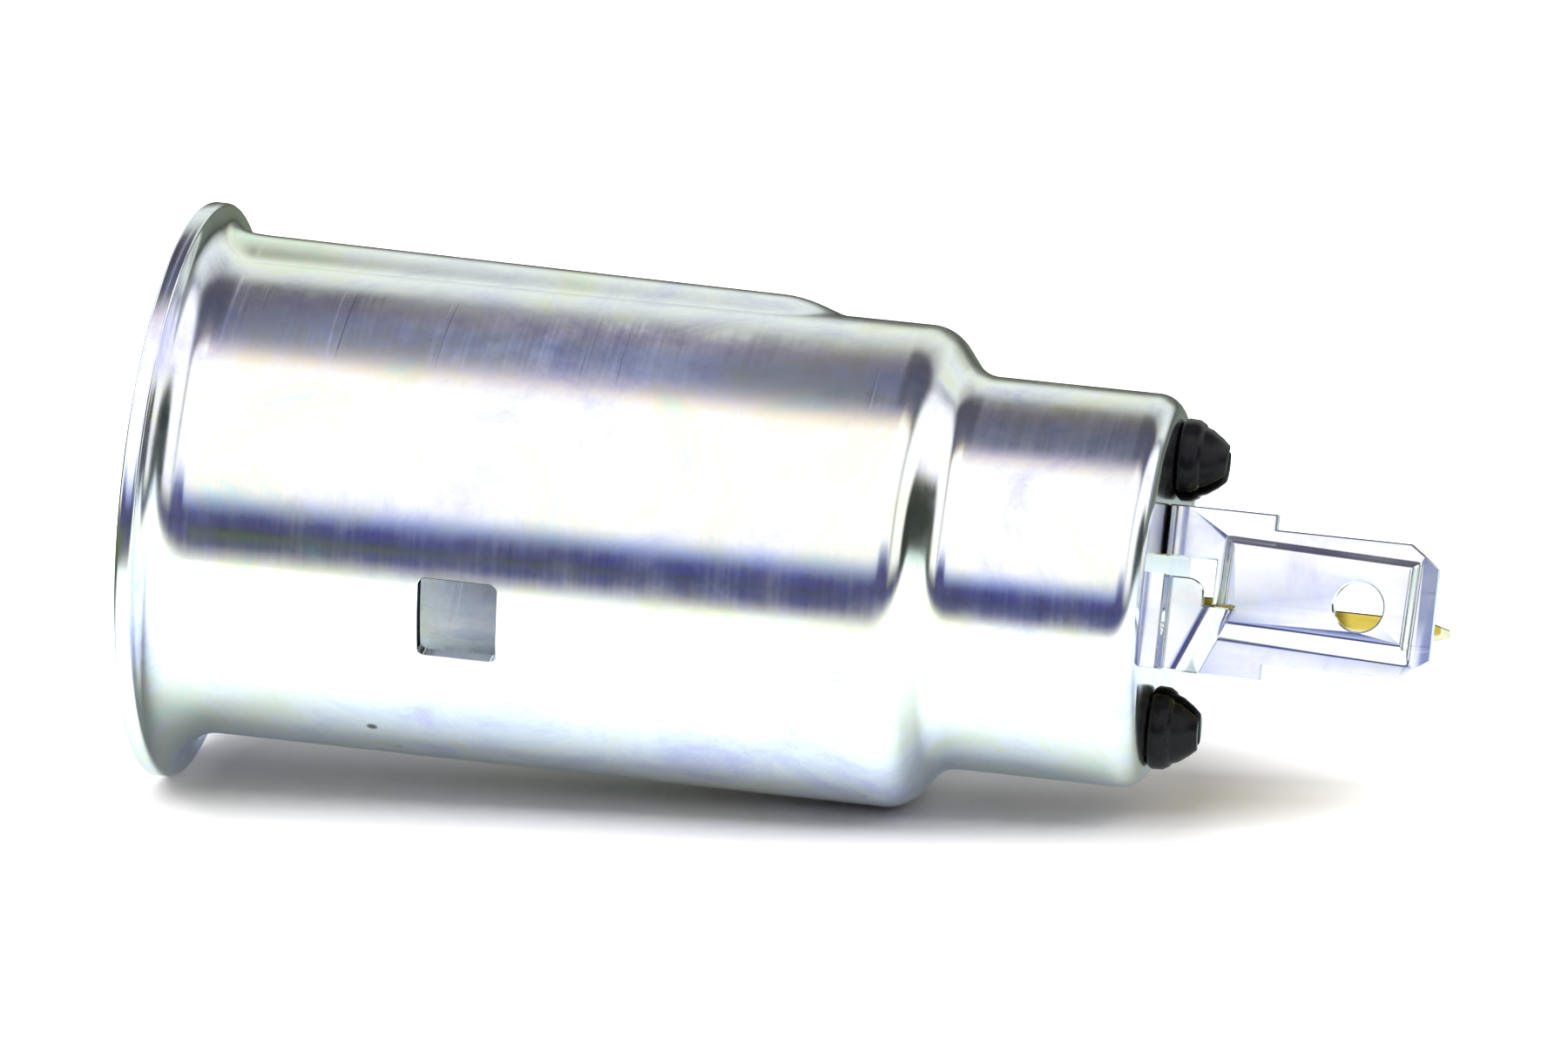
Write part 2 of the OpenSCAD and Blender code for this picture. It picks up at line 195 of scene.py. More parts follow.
# A stamped sheet: its flat outline, cut, bent by place, with a small bevel on both faces.
# place takes the flat point and the distance from the sheet's middle.
def stampSheet(outline, holes, place, thickness, bevel, creases=(), lines=(), liftFront=None, liftBack=None):
    mesh = bmesh.new()
    rims = [insetLoop(loop, bevel) for loop in [outline, *holes]]
    number = {tuple(round(v, 5) for v in p): i for i, p in enumerate(outline)}
    pairs = [tuple(number[tuple(round(v, 5) for v in p)] for p in line) for line in lines]
    flat, triangles, places = fillFlat(rims[0], rims[1:], creases, pairs)

    def verts(points, side, inset, lift):
        made = []
        for u, s in points:
            offset = side * (thickness(u, s) / 2 - inset) + (lift(u, s) if lift else 0)
            made.append(mesh.verts.new(place(u, s, offset)))
        return made

    front = verts(flat, 1, 0, liftFront)
    back = verts(flat, -1, 0, liftBack)
    for a, b, c in triangles:
        mesh.faces.new((front[a], front[b], front[c]))
        mesh.faces.new((back[c], back[b], back[a]))
    first = 0
    for loop in [outline, *holes]:
        count = len(loop)
        rim = [places[first + i] for i in range(count)]
        rings = [[front[i] for i in rim], verts(loop, 1, bevel, liftFront),
                 verts(loop, -1, bevel, liftBack), [back[i] for i in rim]]
        for upper, lower in zip(rings, rings[1:]):
            for i in range(count):
                j = (i + 1) % count
                mesh.faces.new((upper[i], lower[i], lower[j], upper[j]))
        first += count
    return mesh


# Revolves a closed outline of (radius, z) points about the socket's axis, or about (x, y)
def lathe(profile, segments, centre=(0, 0)):
    mesh = bmesh.new()
    rings = []
    for radius, z in profile:
        if radius < samePoint:
            rings.append([mesh.verts.new((centre[0], centre[1], z))] * segments)
            continue
        rings.append([mesh.verts.new((centre[0] + radius * sin(fullTurn * i / segments),
                                      centre[1] + radius * cos(fullTurn * i / segments), z))
                      for i in range(segments)])
    for low, high in zip(rings, rings[1:]):
        for i in range(segments):
            j = (i + 1) % segments
            corners = []
            for v in (low[i], low[j], high[j], high[i]):
                if v not in corners:
                    corners.append(v)
            if len(corners) > 2:
                mesh.faces.new(corners)
    return mesh


# Materials

def setInputs(tree, node, values):
    for socket, value in values.items():
        if isinstance(value, bpy.types.NodeSocket):
            tree.links.new(value, node.inputs[socket])
        else:
            node.inputs[socket].default_value = value


def addNode(tree, kind, values=None, **settings):
    node = tree.nodes.new("ShaderNode" + kind)
    for key, value in settings.items():
        setattr(node, key, value)
    setInputs(tree, node, values or {})
    return node


def newMaterial(name):
    material = bpy.data.materials.new(name)
    material.use_nodes = True
    tree = material.node_tree
    return material, tree, tree.nodes["Principled BSDF"]


# A shared effect. The value of each input or output tells its kind, and every effect takes a place.
def newGroup(name, inputs, outputs):
    tree = bpy.data.node_groups.new(name, "ShaderNodeTree")
    kinds = {1: "NodeSocketFloat", 3: "NodeSocketVector", 4: "NodeSocketColor"}
    for side, sockets in (("INPUT", {"Place": (0, 0, 0), **inputs}), ("OUTPUT", outputs)):
        for label, value in sockets.items():
            size = len(value) if isinstance(value, tuple) else 1
            tree.interface.new_socket(name=label, in_out=side, socket_type=kinds[size]).default_value = value
    return tree, tree.nodes.new("NodeGroupInput").outputs, tree.nodes.new("NodeGroupOutput").inputs


def placeGroup(tree, group, place, **values):
    return addNode(tree, "Group", {"Place": place, **values}, node_tree=group).outputs


def calc(tree, kind, a, b=0.0, c=0.0):
    return addNode(tree, "Math", {0: a, 1: b, 2: c}, operation=kind).outputs[0]


def measure(tree, kind, a, b):
    return addNode(tree, "VectorMath", {0: a, 1: b}, operation=kind).outputs["Value"]


def noise(tree, place, scale, detail, rough=0.5, warp=0.0):
    return addNode(tree, "TexNoise", {
        "Vector": place, "Scale": scale, "Detail": detail, "Roughness": rough, "Distortion": warp}).outputs["Fac"]


def stretch(tree, value, low, high, newLow=0.0, newHigh=1.0):
    return addNode(tree, "MapRange", {
        "Value": value, "From Min": low, "From Max": high, "To Min": newLow, "To Max": newHigh}).outputs[0]


def mixColour(tree, factor, a, b, kind="MIX"):
    values = {"Factor": factor, "A": a, "B": b}
    return addNode(tree, "Mix", values, data_type="RGBA", blend_type=kind).outputs["Result"]


def bump(tree, height, distance, **values):
    return addNode(tree, "Bump", {"Height": height, "Distance": distance * mm, "Strength": 1, **values}).outputs[0]


def colourRamp(tree, value, stops):
    ramp = addNode(tree, "ValToRGB", {"Fac": value})
    elements = ramp.color_ramp.elements
    while len(elements) < len(stops):
        elements.new(0.5)
    for element, (position, colour) in zip(elements, stops):
        element.position, element.color = position, (*colour, 1)
    return ramp.outputs["Color"]


# Fine lines that the tool left in the sheet. Grain is the number of lines in a metre along each axis.
linePattern = {"detail": 3, "rough": 0.65, "wideScale": 0.4, "wideDetail": 2, "wideShare": 0.3,
               "scoreScale": 0.6, "scoreDetail": 0, "scoreFrom": 0.7, "scoreTo": 0.78}


def drawLinesGroup():
    p = linePattern
    tree, given, made = newGroup("drawLines", {"Grain": (4000, 4000, 60)}, {"Lines": 0.0, "Scores": 0.0})
    place = addNode(tree, "VectorMath", {0: given["Place"], 1: given["Grain"]}, operation="MULTIPLY").outputs[0]
    fine = calc(tree, "MULTIPLY", noise(tree, place, 1, p["detail"], p["rough"]), 1 - p["wideShare"])
    wide = noise(tree, place, p["wideScale"], p["wideDetail"])
    tree.links.new(calc(tree, "MULTIPLY_ADD", wide, p["wideShare"], fine), made["Lines"])
    deep = noise(tree, place, p["scoreScale"], p["scoreDetail"])
    tree.links.new(stretch(tree, deep, p["scoreFrom"], p["scoreTo"]), made["Scores"])
    return tree


# Thin plating films differ from place to place, and tint the metal violet, straw or green
filmPattern = {"detail": 6, "rough": 0.72, "warp": 0.6,
               "tints": [(0.3, (0.72, 0.68, 1)), (0.42, (0.9, 0.9, 1)), (0.5, (1, 1, 1)),
                         (0.58, (1, 0.97, 0.78)), (0.7, (0.74, 1, 0.88))]}


def plateTintGroup():
    p = filmPattern
    metal = (0.8, 0.8, 0.8, 1)
    tree, given, made = newGroup("plateTint", {"Colour": metal, "Amount": 0.5, "Patches": 90.0}, {"Colour": metal})
    film = noise(tree, given["Place"], given["Patches"], p["detail"], p["rough"], p["warp"])
    films = colourRamp(tree, film, p["tints"])
    tree.links.new(mixColour(tree, given["Amount"], given["Colour"], films, "MULTIPLY"), made["Colour"])
    return tree


# What handling leaves: soft smudges, and small specks where the finish is pitted
handlingPattern = {"detail": 5, "rough": 0.55, "smudgeFrom": 0.42, "smudgeTo": 0.68,
                   "speckIn": 0.12, "speckOut": 0.24}


def handlingGroup():
    p = handlingPattern
    tree, given, made = newGroup("handling", {"Smudges": 120.0, "Specks": 900.0, "Share": 0.1},
                                 {"Smudge": 0.0, "Speck": 0.0})
    soft = noise(tree, given["Place"], given["Smudges"], p["detail"], p["rough"])
    tree.links.new(stretch(tree, soft, p["smudgeFrom"], p["smudgeTo"]), made["Smudge"])
    cells = addNode(tree, "TexVoronoi", {"Vector": given["Place"], "Scale": given["Specks"]}).outputs
    drawn = addNode(tree, "SeparateColor", {0: cells["Color"]}).outputs[0]
    near = stretch(tree, cells["Distance"], p["speckIn"], p["speckOut"], 1, 0)
    tree.links.new(calc(tree, "MULTIPLY", calc(tree, "LESS_THAN", drawn, given["Share"]), near), made["Speck"])
    return tree


# Edges: where a rounded normal leaves the true one. On metal this marks worn finish, and on the black moulding it
# marks a painted sheen
wearPattern = {"samples": 4, "edgeFrom": 0.995, "edgeTo": 0.9, "breakDetail": 3, "breakFrom": 0.4, "breakTo": 0.6}


def edgeWearAndSheenGroup():
    p = wearPattern
    tree, given, made = newGroup("edgeWearAndSheen", {"Width": 0.0002, "Breaks": 700.0}, {"WearAndSheen": 0.0})
    rounded = addNode(tree, "Bevel", {"Radius": given["Width"]}, samples=p["samples"]).outputs[0]
    true = addNode(tree, "NewGeometry").outputs["Normal"]
    edge = stretch(tree, measure(tree, "DOT_PRODUCT", rounded, true), p["edgeFrom"], p["edgeTo"])
    breaks = noise(tree, given["Place"], given["Breaks"], p["breakDetail"])
    tree.links.new(calc(tree, "MULTIPLY", edge, stretch(tree, breaks, p["breakFrom"], p["breakTo"])), made["WearAndSheen"])
    return tree


drawLines, plateTint, handling, edgeWearAndSheen = drawLinesGroup(), plateTintGroup(), handlingGroup(), edgeWearAndSheenGroup()

# Every metal's finish, then what differs. Grain runs along the way the sheet was drawn or rolled.
metalFinish = {
    "lineRough": 0.12, "smudgeRough": 0.12, "grain": (3000, 3000, 120), "tint": 0.3, "patches": 200,
    "relief": 0.0005, "scoreDepth": 2, "waves": 0.006, "waveSize": 260, "waveDetail": 1,
    "smudges": 240, "specks": 1100, "speckShare": 0.35, "speckColour": (0.06, 0.055, 0.05, 1),
    "edge": 0.00016, "wornShare": 0.6, "wornRough": 0.3,
}
zincFinish = {
    **metalFinish, "colour": (0.87, 0.89, 0.92, 1), "worn": (0.66, 0.67, 0.7, 1), "rough": 0.13, "lineRough": 0.2,
    "smudgeRough": 0.08, "grain": (90, 90, 4200), "tint": 0.8, "patches": 150, "waves": 0.012, "waveSize": 130,
    "smudges": 420, "specks": 900, "share": 0.006, "edge": 0.00018,
    "mark": (-10.23, 4.79, 11.2), "markSize": 0.32, "markShare": 0.9,
}
steelFinish = {
    **metalFinish, "colour": (0.87, 0.885, 0.92, 1), "worn": (0.6, 0.62, 0.66, 1), "rough": 0.12, "lineRough": 0.1,
    "smudgeRough": 0.1, "tint": 0.5, "patches": 190, "smudges": 260, "share": 0.05,
}
brassFinish = {
    **metalFinish, "colour": (0.77, 0.59, 0.1, 1), "worn": (0.9, 0.74, 0.36, 1), "rough": 0.16, "share": 0.08,
}
springFinish = {**brassFinish, "colour": (0.72, 0.5, 0.2, 1), "grain": (120, 3000, 3000), "rough": 0.22}
rivetFinish = {**brassFinish, "colour": (0.76, 0.58, 0.24, 1), "grain": (900, 900, 5000), "rough": 0.24}


def platedMetal(name, f):
    material, tree, shader = newMaterial(name)
    place = addNode(tree, "TexCoord").outputs["Object"]
    lines = placeGroup(tree, drawLines, place, Grain=f["grain"])
    tint = placeGroup(tree, plateTint, place, Colour=f["colour"], Amount=f["tint"], Patches=f["patches"])
    marks = placeGroup(tree, handling, place, Smudges=f["smudges"], Specks=f["specks"], Share=f["share"])
    wearAndSheen = placeGroup(tree, edgeWearAndSheen, place, Width=f["edge"])["WearAndSheen"]
    colour = mixColour(tree, calc(tree, "MULTIPLY", wearAndSheen, f["wornShare"]), tint["Colour"], f["worn"])
    speck = calc(tree, "MULTIPLY", marks["Speck"], f["speckShare"])
    if "mark" in f:
        away, size = measure(tree, "DISTANCE", place, [v * mm for v in f["mark"]]), f["markSize"] * mm
        speck = calc(tree, "MAXIMUM", speck, stretch(tree, away, size / 2, size, f["markShare"], 0))
    rough = calc(tree, "MULTIPLY_ADD", lines["Lines"], f["lineRough"], f["rough"] - f["lineRough"] / 2)
    rough = calc(tree, "MULTIPLY_ADD", marks["Smudge"], f["smudgeRough"], rough)
    height = calc(tree, "SUBTRACT", lines["Lines"], calc(tree, "MULTIPLY", lines["Scores"], f["scoreDepth"]))
    wave = noise(tree, place, f["waveSize"], f["waveDetail"])
    setInputs(tree, shader, {
        "Base Color": mixColour(tree, speck, colour, f["speckColour"]), "Metallic": 1,
        "Roughness": calc(tree, "MAXIMUM", rough, calc(tree, "MULTIPLY", wearAndSheen, f["wornRough"])),
        "Normal": bump(tree, wave, f["waves"], Normal=bump(tree, height, f["relief"])),
    })
    return material


# The black moulding's lighter colour is dust where it is smudged and a painted sheen along its edges
mouldFinish = {
    "colour": (0.006, 0.006, 0.007, 1), "dustAndSheen": (0.03, 0.03, 0.031, 1), "edgeSheen": 0.5, "smudgeDust": 0.18,
    "rough": 0.16, "flowRough": 0.12, "smudgeRough": 0.12, "specular": 0.16, "relief": 0.003, "edge": 0.0002,
    "grainSize": 2600, "grainDetail": 3, "flowSize": 320, "flowDetail": 2, "flowWarp": 1.2, "flowShare": 0.5,
    "smudges": 300,
}


def mouldedPlastic(name, f):
    material, tree, shader = newMaterial(name)
    place = addNode(tree, "TexCoord").outputs["Object"]
    smudge = placeGroup(tree, handling, place, Smudges=f["smudges"])["Smudge"]
    wearAndSheen = placeGroup(tree, edgeWearAndSheen, place, Width=f["edge"])["WearAndSheen"]
    grain = noise(tree, place, f["grainSize"], f["grainDetail"])
    flow = noise(tree, place, f["flowSize"], f["flowDetail"], warp=f["flowWarp"])
    # Edges lighten as a painted sheen, and smudges lighten as dust
    dustAndSheen = calc(tree, "MAXIMUM", calc(tree, "MULTIPLY", wearAndSheen, f["edgeSheen"]),
                calc(tree, "MULTIPLY", smudge, f["smudgeDust"]))
    rough = calc(tree, "MULTIPLY_ADD", flow, f["flowRough"], f["rough"])
    height = calc(tree, "MULTIPLY_ADD", flow, f["flowShare"], calc(tree, "MULTIPLY", grain, 1 - f["flowShare"]))
    setInputs(tree, shader, {
        "Base Color": mixColour(tree, dustAndSheen, f["colour"], f["dustAndSheen"]), "Specular IOR Level": f["specular"],
        "Roughness": calc(tree, "MULTIPLY_ADD", smudge, f["smudgeRough"], rough),
        "Normal": bump(tree, height, f["relief"]),
    })
    return material


zincSteel = platedMetal("zincSteel", zincFinish)
terminalSteel = platedMetal("terminalSteel", steelFinish)
terminalBrass = platedMetal("terminalBrass", brassFinish)
springBrass = platedMetal("springBrass", springFinish)
rivetBrass = platedMetal("rivetBrass", rivetFinish)
blackMoulding = mouldedPlastic("blackMoulding", mouldFinish)
print("materials ready")


# Shell: one drawn sheet, made as its outer and inner side with rings round the axis

shellSize = {
    "bore": 10.5, "wall": 0.8, "length": 46.9,
    "flare": 2.1, "lip": 0.2, "lipRound": 0.19,
    "shoulderStart": 34.75, "shoulder": 2.0, "neck": 1.5, "slope": 52,
    "nose": 9.2, "corner": 1.2,
    "step": 1.5, "stepClear": 0.45, "ringStep": 1.0, "fineRing": 0.4, "ringClear": 0.25, "guard": 0.12,
    "flareSteps": 14, "shoulderSteps": 10, "lipSteps": 4, "faceEdge": 0.02,
    "postX": 6.25, "postHole": 1.7, "postPoints": 36,
    "passageLeft": -1.5, "passageRight": 0.7, "passageLow": -6.2, "passageHigh": 1.5,
}
body = shellSize["bore"] + shellSize["wall"]
ribSize = {"section": 4, "centre": 8.42, "sink": 0.0135, "end": 27.35, "angle": 96, "reach": 26, "blend": 1.2,
           "fineBefore": 1, "fineAfter": 3.5}
windowSize = {"along": 3.7, "round": 3.9, "corner": 0.35, "z": 15.65, "angle": -26.7, "count": 2,
              "bevel": 0.045, "arcSteps": 5, "warp": 22, "warpClear": 0.5}


def shellSide(depth):
    s = shellSize
    nose, wall = s["nose"], s["wall"]
    flare = arc((body + s["flare"], wall + s["flare"]), s["flare"] + depth, 270, 180, s["flareSteps"])
    step = doubleBend((body, s["shoulderStart"]), body - nose, s["shoulder"], s["neck"], s["slope"], depth,
                      s["shoulderSteps"])
    corner = arc((nose - s["corner"], s["length"] - s["corner"]), s["corner"] - depth, 0, 90)
    zStart, zEnd = flare[-1][1], step[0][1]
    w = windowSize
    marks = {w["z"] + side * (w["along"] / 2 + grow) for side in (-1, 1) for grow in (w["bevel"], -w["corner"])}
    z = zStart + s["guard"]
    fineFrom, fineTo = ribSize["end"] - ribSize["fineBefore"], ribSize["end"] + ribSize["fineAfter"]
    while z < zEnd - s["guard"]:
        if all(abs(z - m) > s["ringClear"] for m in marks):
            marks.add(z)
        z += s["ringStep"] * (s["fineRing"] if fineFrom < z < fineTo else 1)
    marks.add(zEnd - s["guard"])
    radius = body - depth
    neck = [(nose - depth, step[-1][1] + s["guard"]), (nose - depth, corner[0][1] - s["guard"])]
    face = [(corner[-1][0] - s["faceEdge"], corner[-1][1])]
    return flare + [(radius, z) for z in sorted(marks)] + step + neck + corner + face


def ribRadius(off, z, section):
    r = ribSize
    reach = z - r["end"]
    if reach > 0:
        if reach >= section:
            return 0
        section = sqrt(section ** 2 - reach ** 2)
    centre = r["centre"] - r["sink"] * min(z, r["end"])
    across = centre * sin(off)
    if cos(off) <= 0 or abs(across) >= section:
        return 0
    return centre * cos(off) + sqrt(section ** 2 - across ** 2)


def shellPoint(radius, z, angle, depth):
    off = apart(angle, rad(ribSize["angle"]))
    r = softMax(radius, ribRadius(off, z, ribSize["section"] - depth), ribSize["blend"])
    return Vector((r * sin(angle), r * cos(angle), z))


def windowAngles():
    return [rad(windowSize["angle"] + 360 * i / windowSize["count"]) for i in range(windowSize["count"])]


# Angles of the outer side, with lines through the edges of the windows
def shellAngles():
    w = windowSize
    marks = [middle + side * asin((w["round"] / 2 + grow) / body)
             for middle in windowAngles() for side in (-1, 1) for grow in (w["bevel"], -w["corner"])]
    step = shellSize["step"]
    angles = list(marks)
    count = round(360 / step)
    for i in range(count * 2):
        degrees = -180 + i * step / 2
        nearRib = abs(remainder(degrees - ribSize["angle"], 360)) < ribSize["reach"]
        if i % 2 and not nearRib:
            continue
        angle = rad(degrees)
        if all(abs(apart(angle, m)) > rad(shellSize["stepClear"]) for m in marks):
            angles.append(angle)
    return sorted(apart(a, 0) for a in angles)


# The same line on the inner side, so that a window's edges are parallel through the wall
def innerAngle(angle):
    for middle in windowAngles():
        off = apart(angle, middle)
        reach = rad(windowSize["warp"])
        if abs(off) < reach:
            full = asin(min(body * sin(off) / shellSize["bore"], 1))
            edge = asin(windowSize["round"] / 2 / body) + rad(windowSize["warpClear"])
            share = min(max((reach - abs(off)) / (reach - edge), 0), 1)
            return angle + (full - off) * share
    return angle


def makeShell():
    s, w = shellSize, windowSize
    mesh = bmesh.new()
    angles = shellAngles()
    inner, outer = shellSide(s["wall"]), shellSide(0)
    wall, roundOff = s["wall"], s["lipRound"]
    flat = body + s["flare"] + s["lip"] - roundOff
    lip = (arc((flat, roundOff), roundOff, 270, 360, s["lipSteps"])
           + arc((flat, wall - roundOff), roundOff, 0, 90, s["lipSteps"]))
    rings, sides = [], []
    for points, depth in ((inner[::-1], wall), (lip, 0), (outer, 0)):
        for radius, z in points:
            turned = [innerAngle(a) for a in angles] if depth else angles
            rings.append([mesh.verts.new(shellPoint(radius, z, a, depth)) for a in turned])
            sides.append((z, depth))
    count = len(angles)

    skip, windows = set(), []
    halfAngle = asin((w["round"] / 2 + w["bevel"]) / body)
    halfZ = w["along"] / 2 + w["bevel"]
    for middle in windowAngles():
        columns = [c for c, a in enumerate(angles) if abs(apart(a, middle)) <= halfAngle + samePoint]
        rowSets = []
        for side in (0, wall):
            rows = [k for k, (z, depth) in enumerate(sides)
                    if depth == side and abs(z - w["z"]) <= halfZ + samePoint]
            rowSets.append(sorted(rows, key=lambda k: sides[k][0]))
            skip |= {(k, c) for k in range(min(rows), max(rows)) for c in columns[:-1]}
        windows.append((middle, columns, *rowSets))
    for k in range(len(rings) - 1):
        for c in range(count):
            if (k, c) in skip:
                continue
            d = (c + 1) % count
            mesh.faces.new((rings[k][c], rings[k][d], rings[k + 1][d], rings[k + 1][c]))

    # Windows: four rings of points from the outer to the inner side
    def windowPoint(middle, x, z, depth):
        radius = body - depth
        return shellPoint(radius, z, middle + asin(x / radius), depth)

    for middle, columns, outRows, inRows in windows:
        xs = [body * sin(apart(angles[c], middle)) for c in columns]
        zs = [sides[k][0] for k in outRows]
        steps, corner, last, top = w["arcSteps"], w["corner"], len(columns) - 1, len(outRows) - 1
        inX, inZ = w["round"] / 2 - corner, w["along"] / 2 - corner
        low, high = w["z"] - inZ, w["z"] + inZ
        # Each edge of the window: its points with their grid places, the way it faces, and the corner after it
        runs = [([(xs[i], low, (0, i)) for i in range(1, last)], 270, (inX, low), (0, last)),
                ([(inX, zs[j], (j, last)) for j in range(1, top)], 0, (inX, high), (top, last)),
                ([(xs[i], high, (top, i)) for i in range(last - 1, 0, -1)], 90, (-inX, high), (top, 0)),
                ([(-inX, zs[j], (j, 0)) for j in range(top - 1, 0, -1)], 180, (-inX, low), (0, 0))]
        border, cornerPlaces = [], []
        for points, facing, (cx, cz), place in runs:
            nx, nz = round(cos(rad(facing))), round(sin(rad(facing)))
            border += [(x, z, nx, nz, spot) for x, z, spot in points]
            cornerPlaces.append((len(border) - 1, place))
            turns = [rad(facing + 90 * i / steps) for i in range(1, steps)]
            border += [(cx, cz, cos(a), sin(a), None) for a in turns]

        loops = []
        bevel = w["bevel"]
        for grow, depth, rows in ((bevel, 0, outRows), (0, bevel, None),
                                  (0, wall - bevel, None), (bevel, wall, inRows)):
            loop = []
            for bx, bz, nx, nz, place in border:
                if rows and place:
                    loop.append(rings[rows[place[0]]][columns[place[1]]])
                else:
                    reach = corner + grow
                    loop.append(mesh.verts.new(windowPoint(middle, bx + nx * reach, bz + nz * reach, depth)))
            loops.append(loop)
        size = len(border)
        for a, b in zip(loops, loops[1:]):
            for i in range(size):
                j = (i + 1) % size
                mesh.faces.new((a[i], a[j], b[j], b[i]))
        for loop, rows in ((loops[0], outRows), (loops[-1], inRows)):
            for first, (j, i) in cornerPlaces:
                apex = rings[rows[j]][columns[i]]
                for k in range(first, first + steps):
                    mesh.faces.new((apex, loop[k % size], loop[(k + 1) % size]))

    # Rear wall: both faces with the holes for the posts and the positive tab
    holes = [circle((x, 0), s["postHole"], s["postPoints"]) for x in (-s["postX"], s["postX"])]
    left, right, low, high = (s["passage" + side] for side in ("Left", "Right", "Low", "High"))
    holes.append([(left, low), (right, low), (right, high), (left, high)])
    holeVerts = []
    for ring, z in ((rings[-1], s["length"]), (rings[0], s["length"] - wall)):
        edge = [(v.co.x, v.co.y) for v in ring]
        cut = [[mesh.verts.new((x, y, z)) for x, y in hole] for hole in holes]
        holeVerts.append(cut)
        _, faces, places = fillFlat(edge, holes)
        given = list(ring) + [v for hole in cut for v in hole]
        every = {places[i]: vert for i, vert in enumerate(given)}
        for face in faces:
            mesh.faces.new([every[i] for i in face])
    for upper, lower in zip(*holeVerts):
        for i in range(len(upper)):
            j = (i + 1) % len(upper)
            mesh.faces.new((upper[i], upper[j], lower[j], lower[i]))
    return finishMesh("drawnShell", mesh, zincSteel, "shell")


makeShell()
print("shell ready")


# Terminals: stamped sheets, bent from their flat outline

tabSize = {"width": 6.3, "thickness": 0.8, "tip": 59.8, "tipLength": 1.4, "tipIn": 1, "tipThickness": 0.4,
           "taper": 0.7, "detent": 56.3, "bend": 0.7, "bevel": 0.07}
groundSize = {
    "x": 0.2, "middle": 2.7, "shoulder": 3.85, "root": 52.1, "wallZ": 46.9, "step": 1.6, "slope": 70, "bend": 0.5,
    "legTop": 0.5, "legEnd": 49.25, "legRound": 0.75, "legOver": 0.2, "legAside": 0.3,
    "stepFrom": -0.7, "stepSlant": 0.42, "slit": 0.12, "edge": 49.5,
    "frontFoot": 3.05, "rearFoot": 3.6, "rearWidth": 2.4, "rearBend": 0.7,
    "hole": 1.15, "holePoints": 40, "weld": 0.65, "weldDepth": 0.12, "weldEdge": 0.2, "weldPoints": 16,
    "weldFront": 1.3, "weldRear": 1.2,
}
panelSize = {"low": -2.4, "high": 2.6, "start": 49.72, "end": 58.95, "height": 0.42, "round": 0.3, "turn": -1.9,
             "bevelLow": 1.0, "bevelHigh": 0.5, "bevelEnd": 0.55, "slant": 0.045, "slantFrom": 53.6, "slantTo": 56.4,
             "slantIn": 1, "rings": (0, 0.06, 0.15, 0.3, 0.5, 0.7, 0.85, 0.94, 1), "ringRound": 0.02}
positiveSize = {"x": -0.4, "low": -5.5, "high": 0.8, "footZ": 43.1, "footLength": 5, "footHalf": 2.2, "hole": 0.85,
                "rivetX": 2.4, "rivetHole": 1.2, "holePoints": 32}


def tipCorners(low, high):
    t = tabSize
    shoulder = t["tip"] - t["tipLength"]
    taper = t["tip"] - t["taper"]
    inTaper = t["tipIn"] * (taper - shoulder) / t["tipLength"]
    return [(high, shoulder), (high - inTaper, taper), (high - t["tipIn"], t["tip"]),
            (low + t["tipIn"], t["tip"]), (low + inTaper, taper), (low, shoulder)]


def tabThickness(u, s):
    t = tabSize
    share = min(max((s - (t["tip"] - t["taper"])) / t["taper"], 0), 1)
    return t["thickness"] + (t["tipThickness"] - t["thickness"]) * share


def roundedRect(x0, x1, y0, y1, radius, steps=4):
    loop = []
    for cx, cy, start in ((x1 - radius, y0 + radius, 270), (x1 - radius, y1 - radius, 0),
                          (x0 + radius, y1 - radius, 90), (x0 + radius, y0 + radius, 180)):
        loop += arc((cx, cy), radius, start, start + 90, steps)
    return loop


# Height of the pressed panel: it rises over a bevel whose width differs from side to side
def panelLift(u, s):
    p = panelSize
    middle = (p["start"] + p["end"]) / 2
    turn = rad(p["turn"])
    across = u * cos(turn) - (s - middle) * sin(turn)
    along = middle + u * sin(turn) + (s - middle) * cos(turn)
    inward = min((across - p["low"]) / p["bevelLow"], (p["high"] - across) / p["bevelHigh"],
                 (along - p["start"]) / p["bevelEnd"], (p["end"] - along) / p["bevelEnd"])
    inward = min(max(inward, 0), 1)
    share = inward * inward * (3 - 2 * inward)
    fade = min(max((p["slantTo"] - s) / (p["slantTo"] - p["slantFrom"]), 0), 1)
    return share * (p["height"] + p["slant"] * fade * fade * (3 - 2 * fade) * (u - p["high"] + p["slantIn"]))


def panelCreases():
    p = panelSize
    middle = (p["start"] + p["end"]) / 2
    turn = rad(p["turn"])
    loops = []
    for share in p["rings"]:
        loop = roundedRect(p["low"] + share * p["bevelLow"], p["high"] - share * p["bevelHigh"],
                           p["start"] + share * p["bevelEnd"], p["end"] - share * p["bevelEnd"],
                           p["round"] * (1 - share) + p["ringRound"])
        loops.append([(u * cos(turn) + (s - middle) * sin(turn),
                       middle - u * sin(turn) + (s - middle) * cos(turn)) for u, s in loop])
    return loops


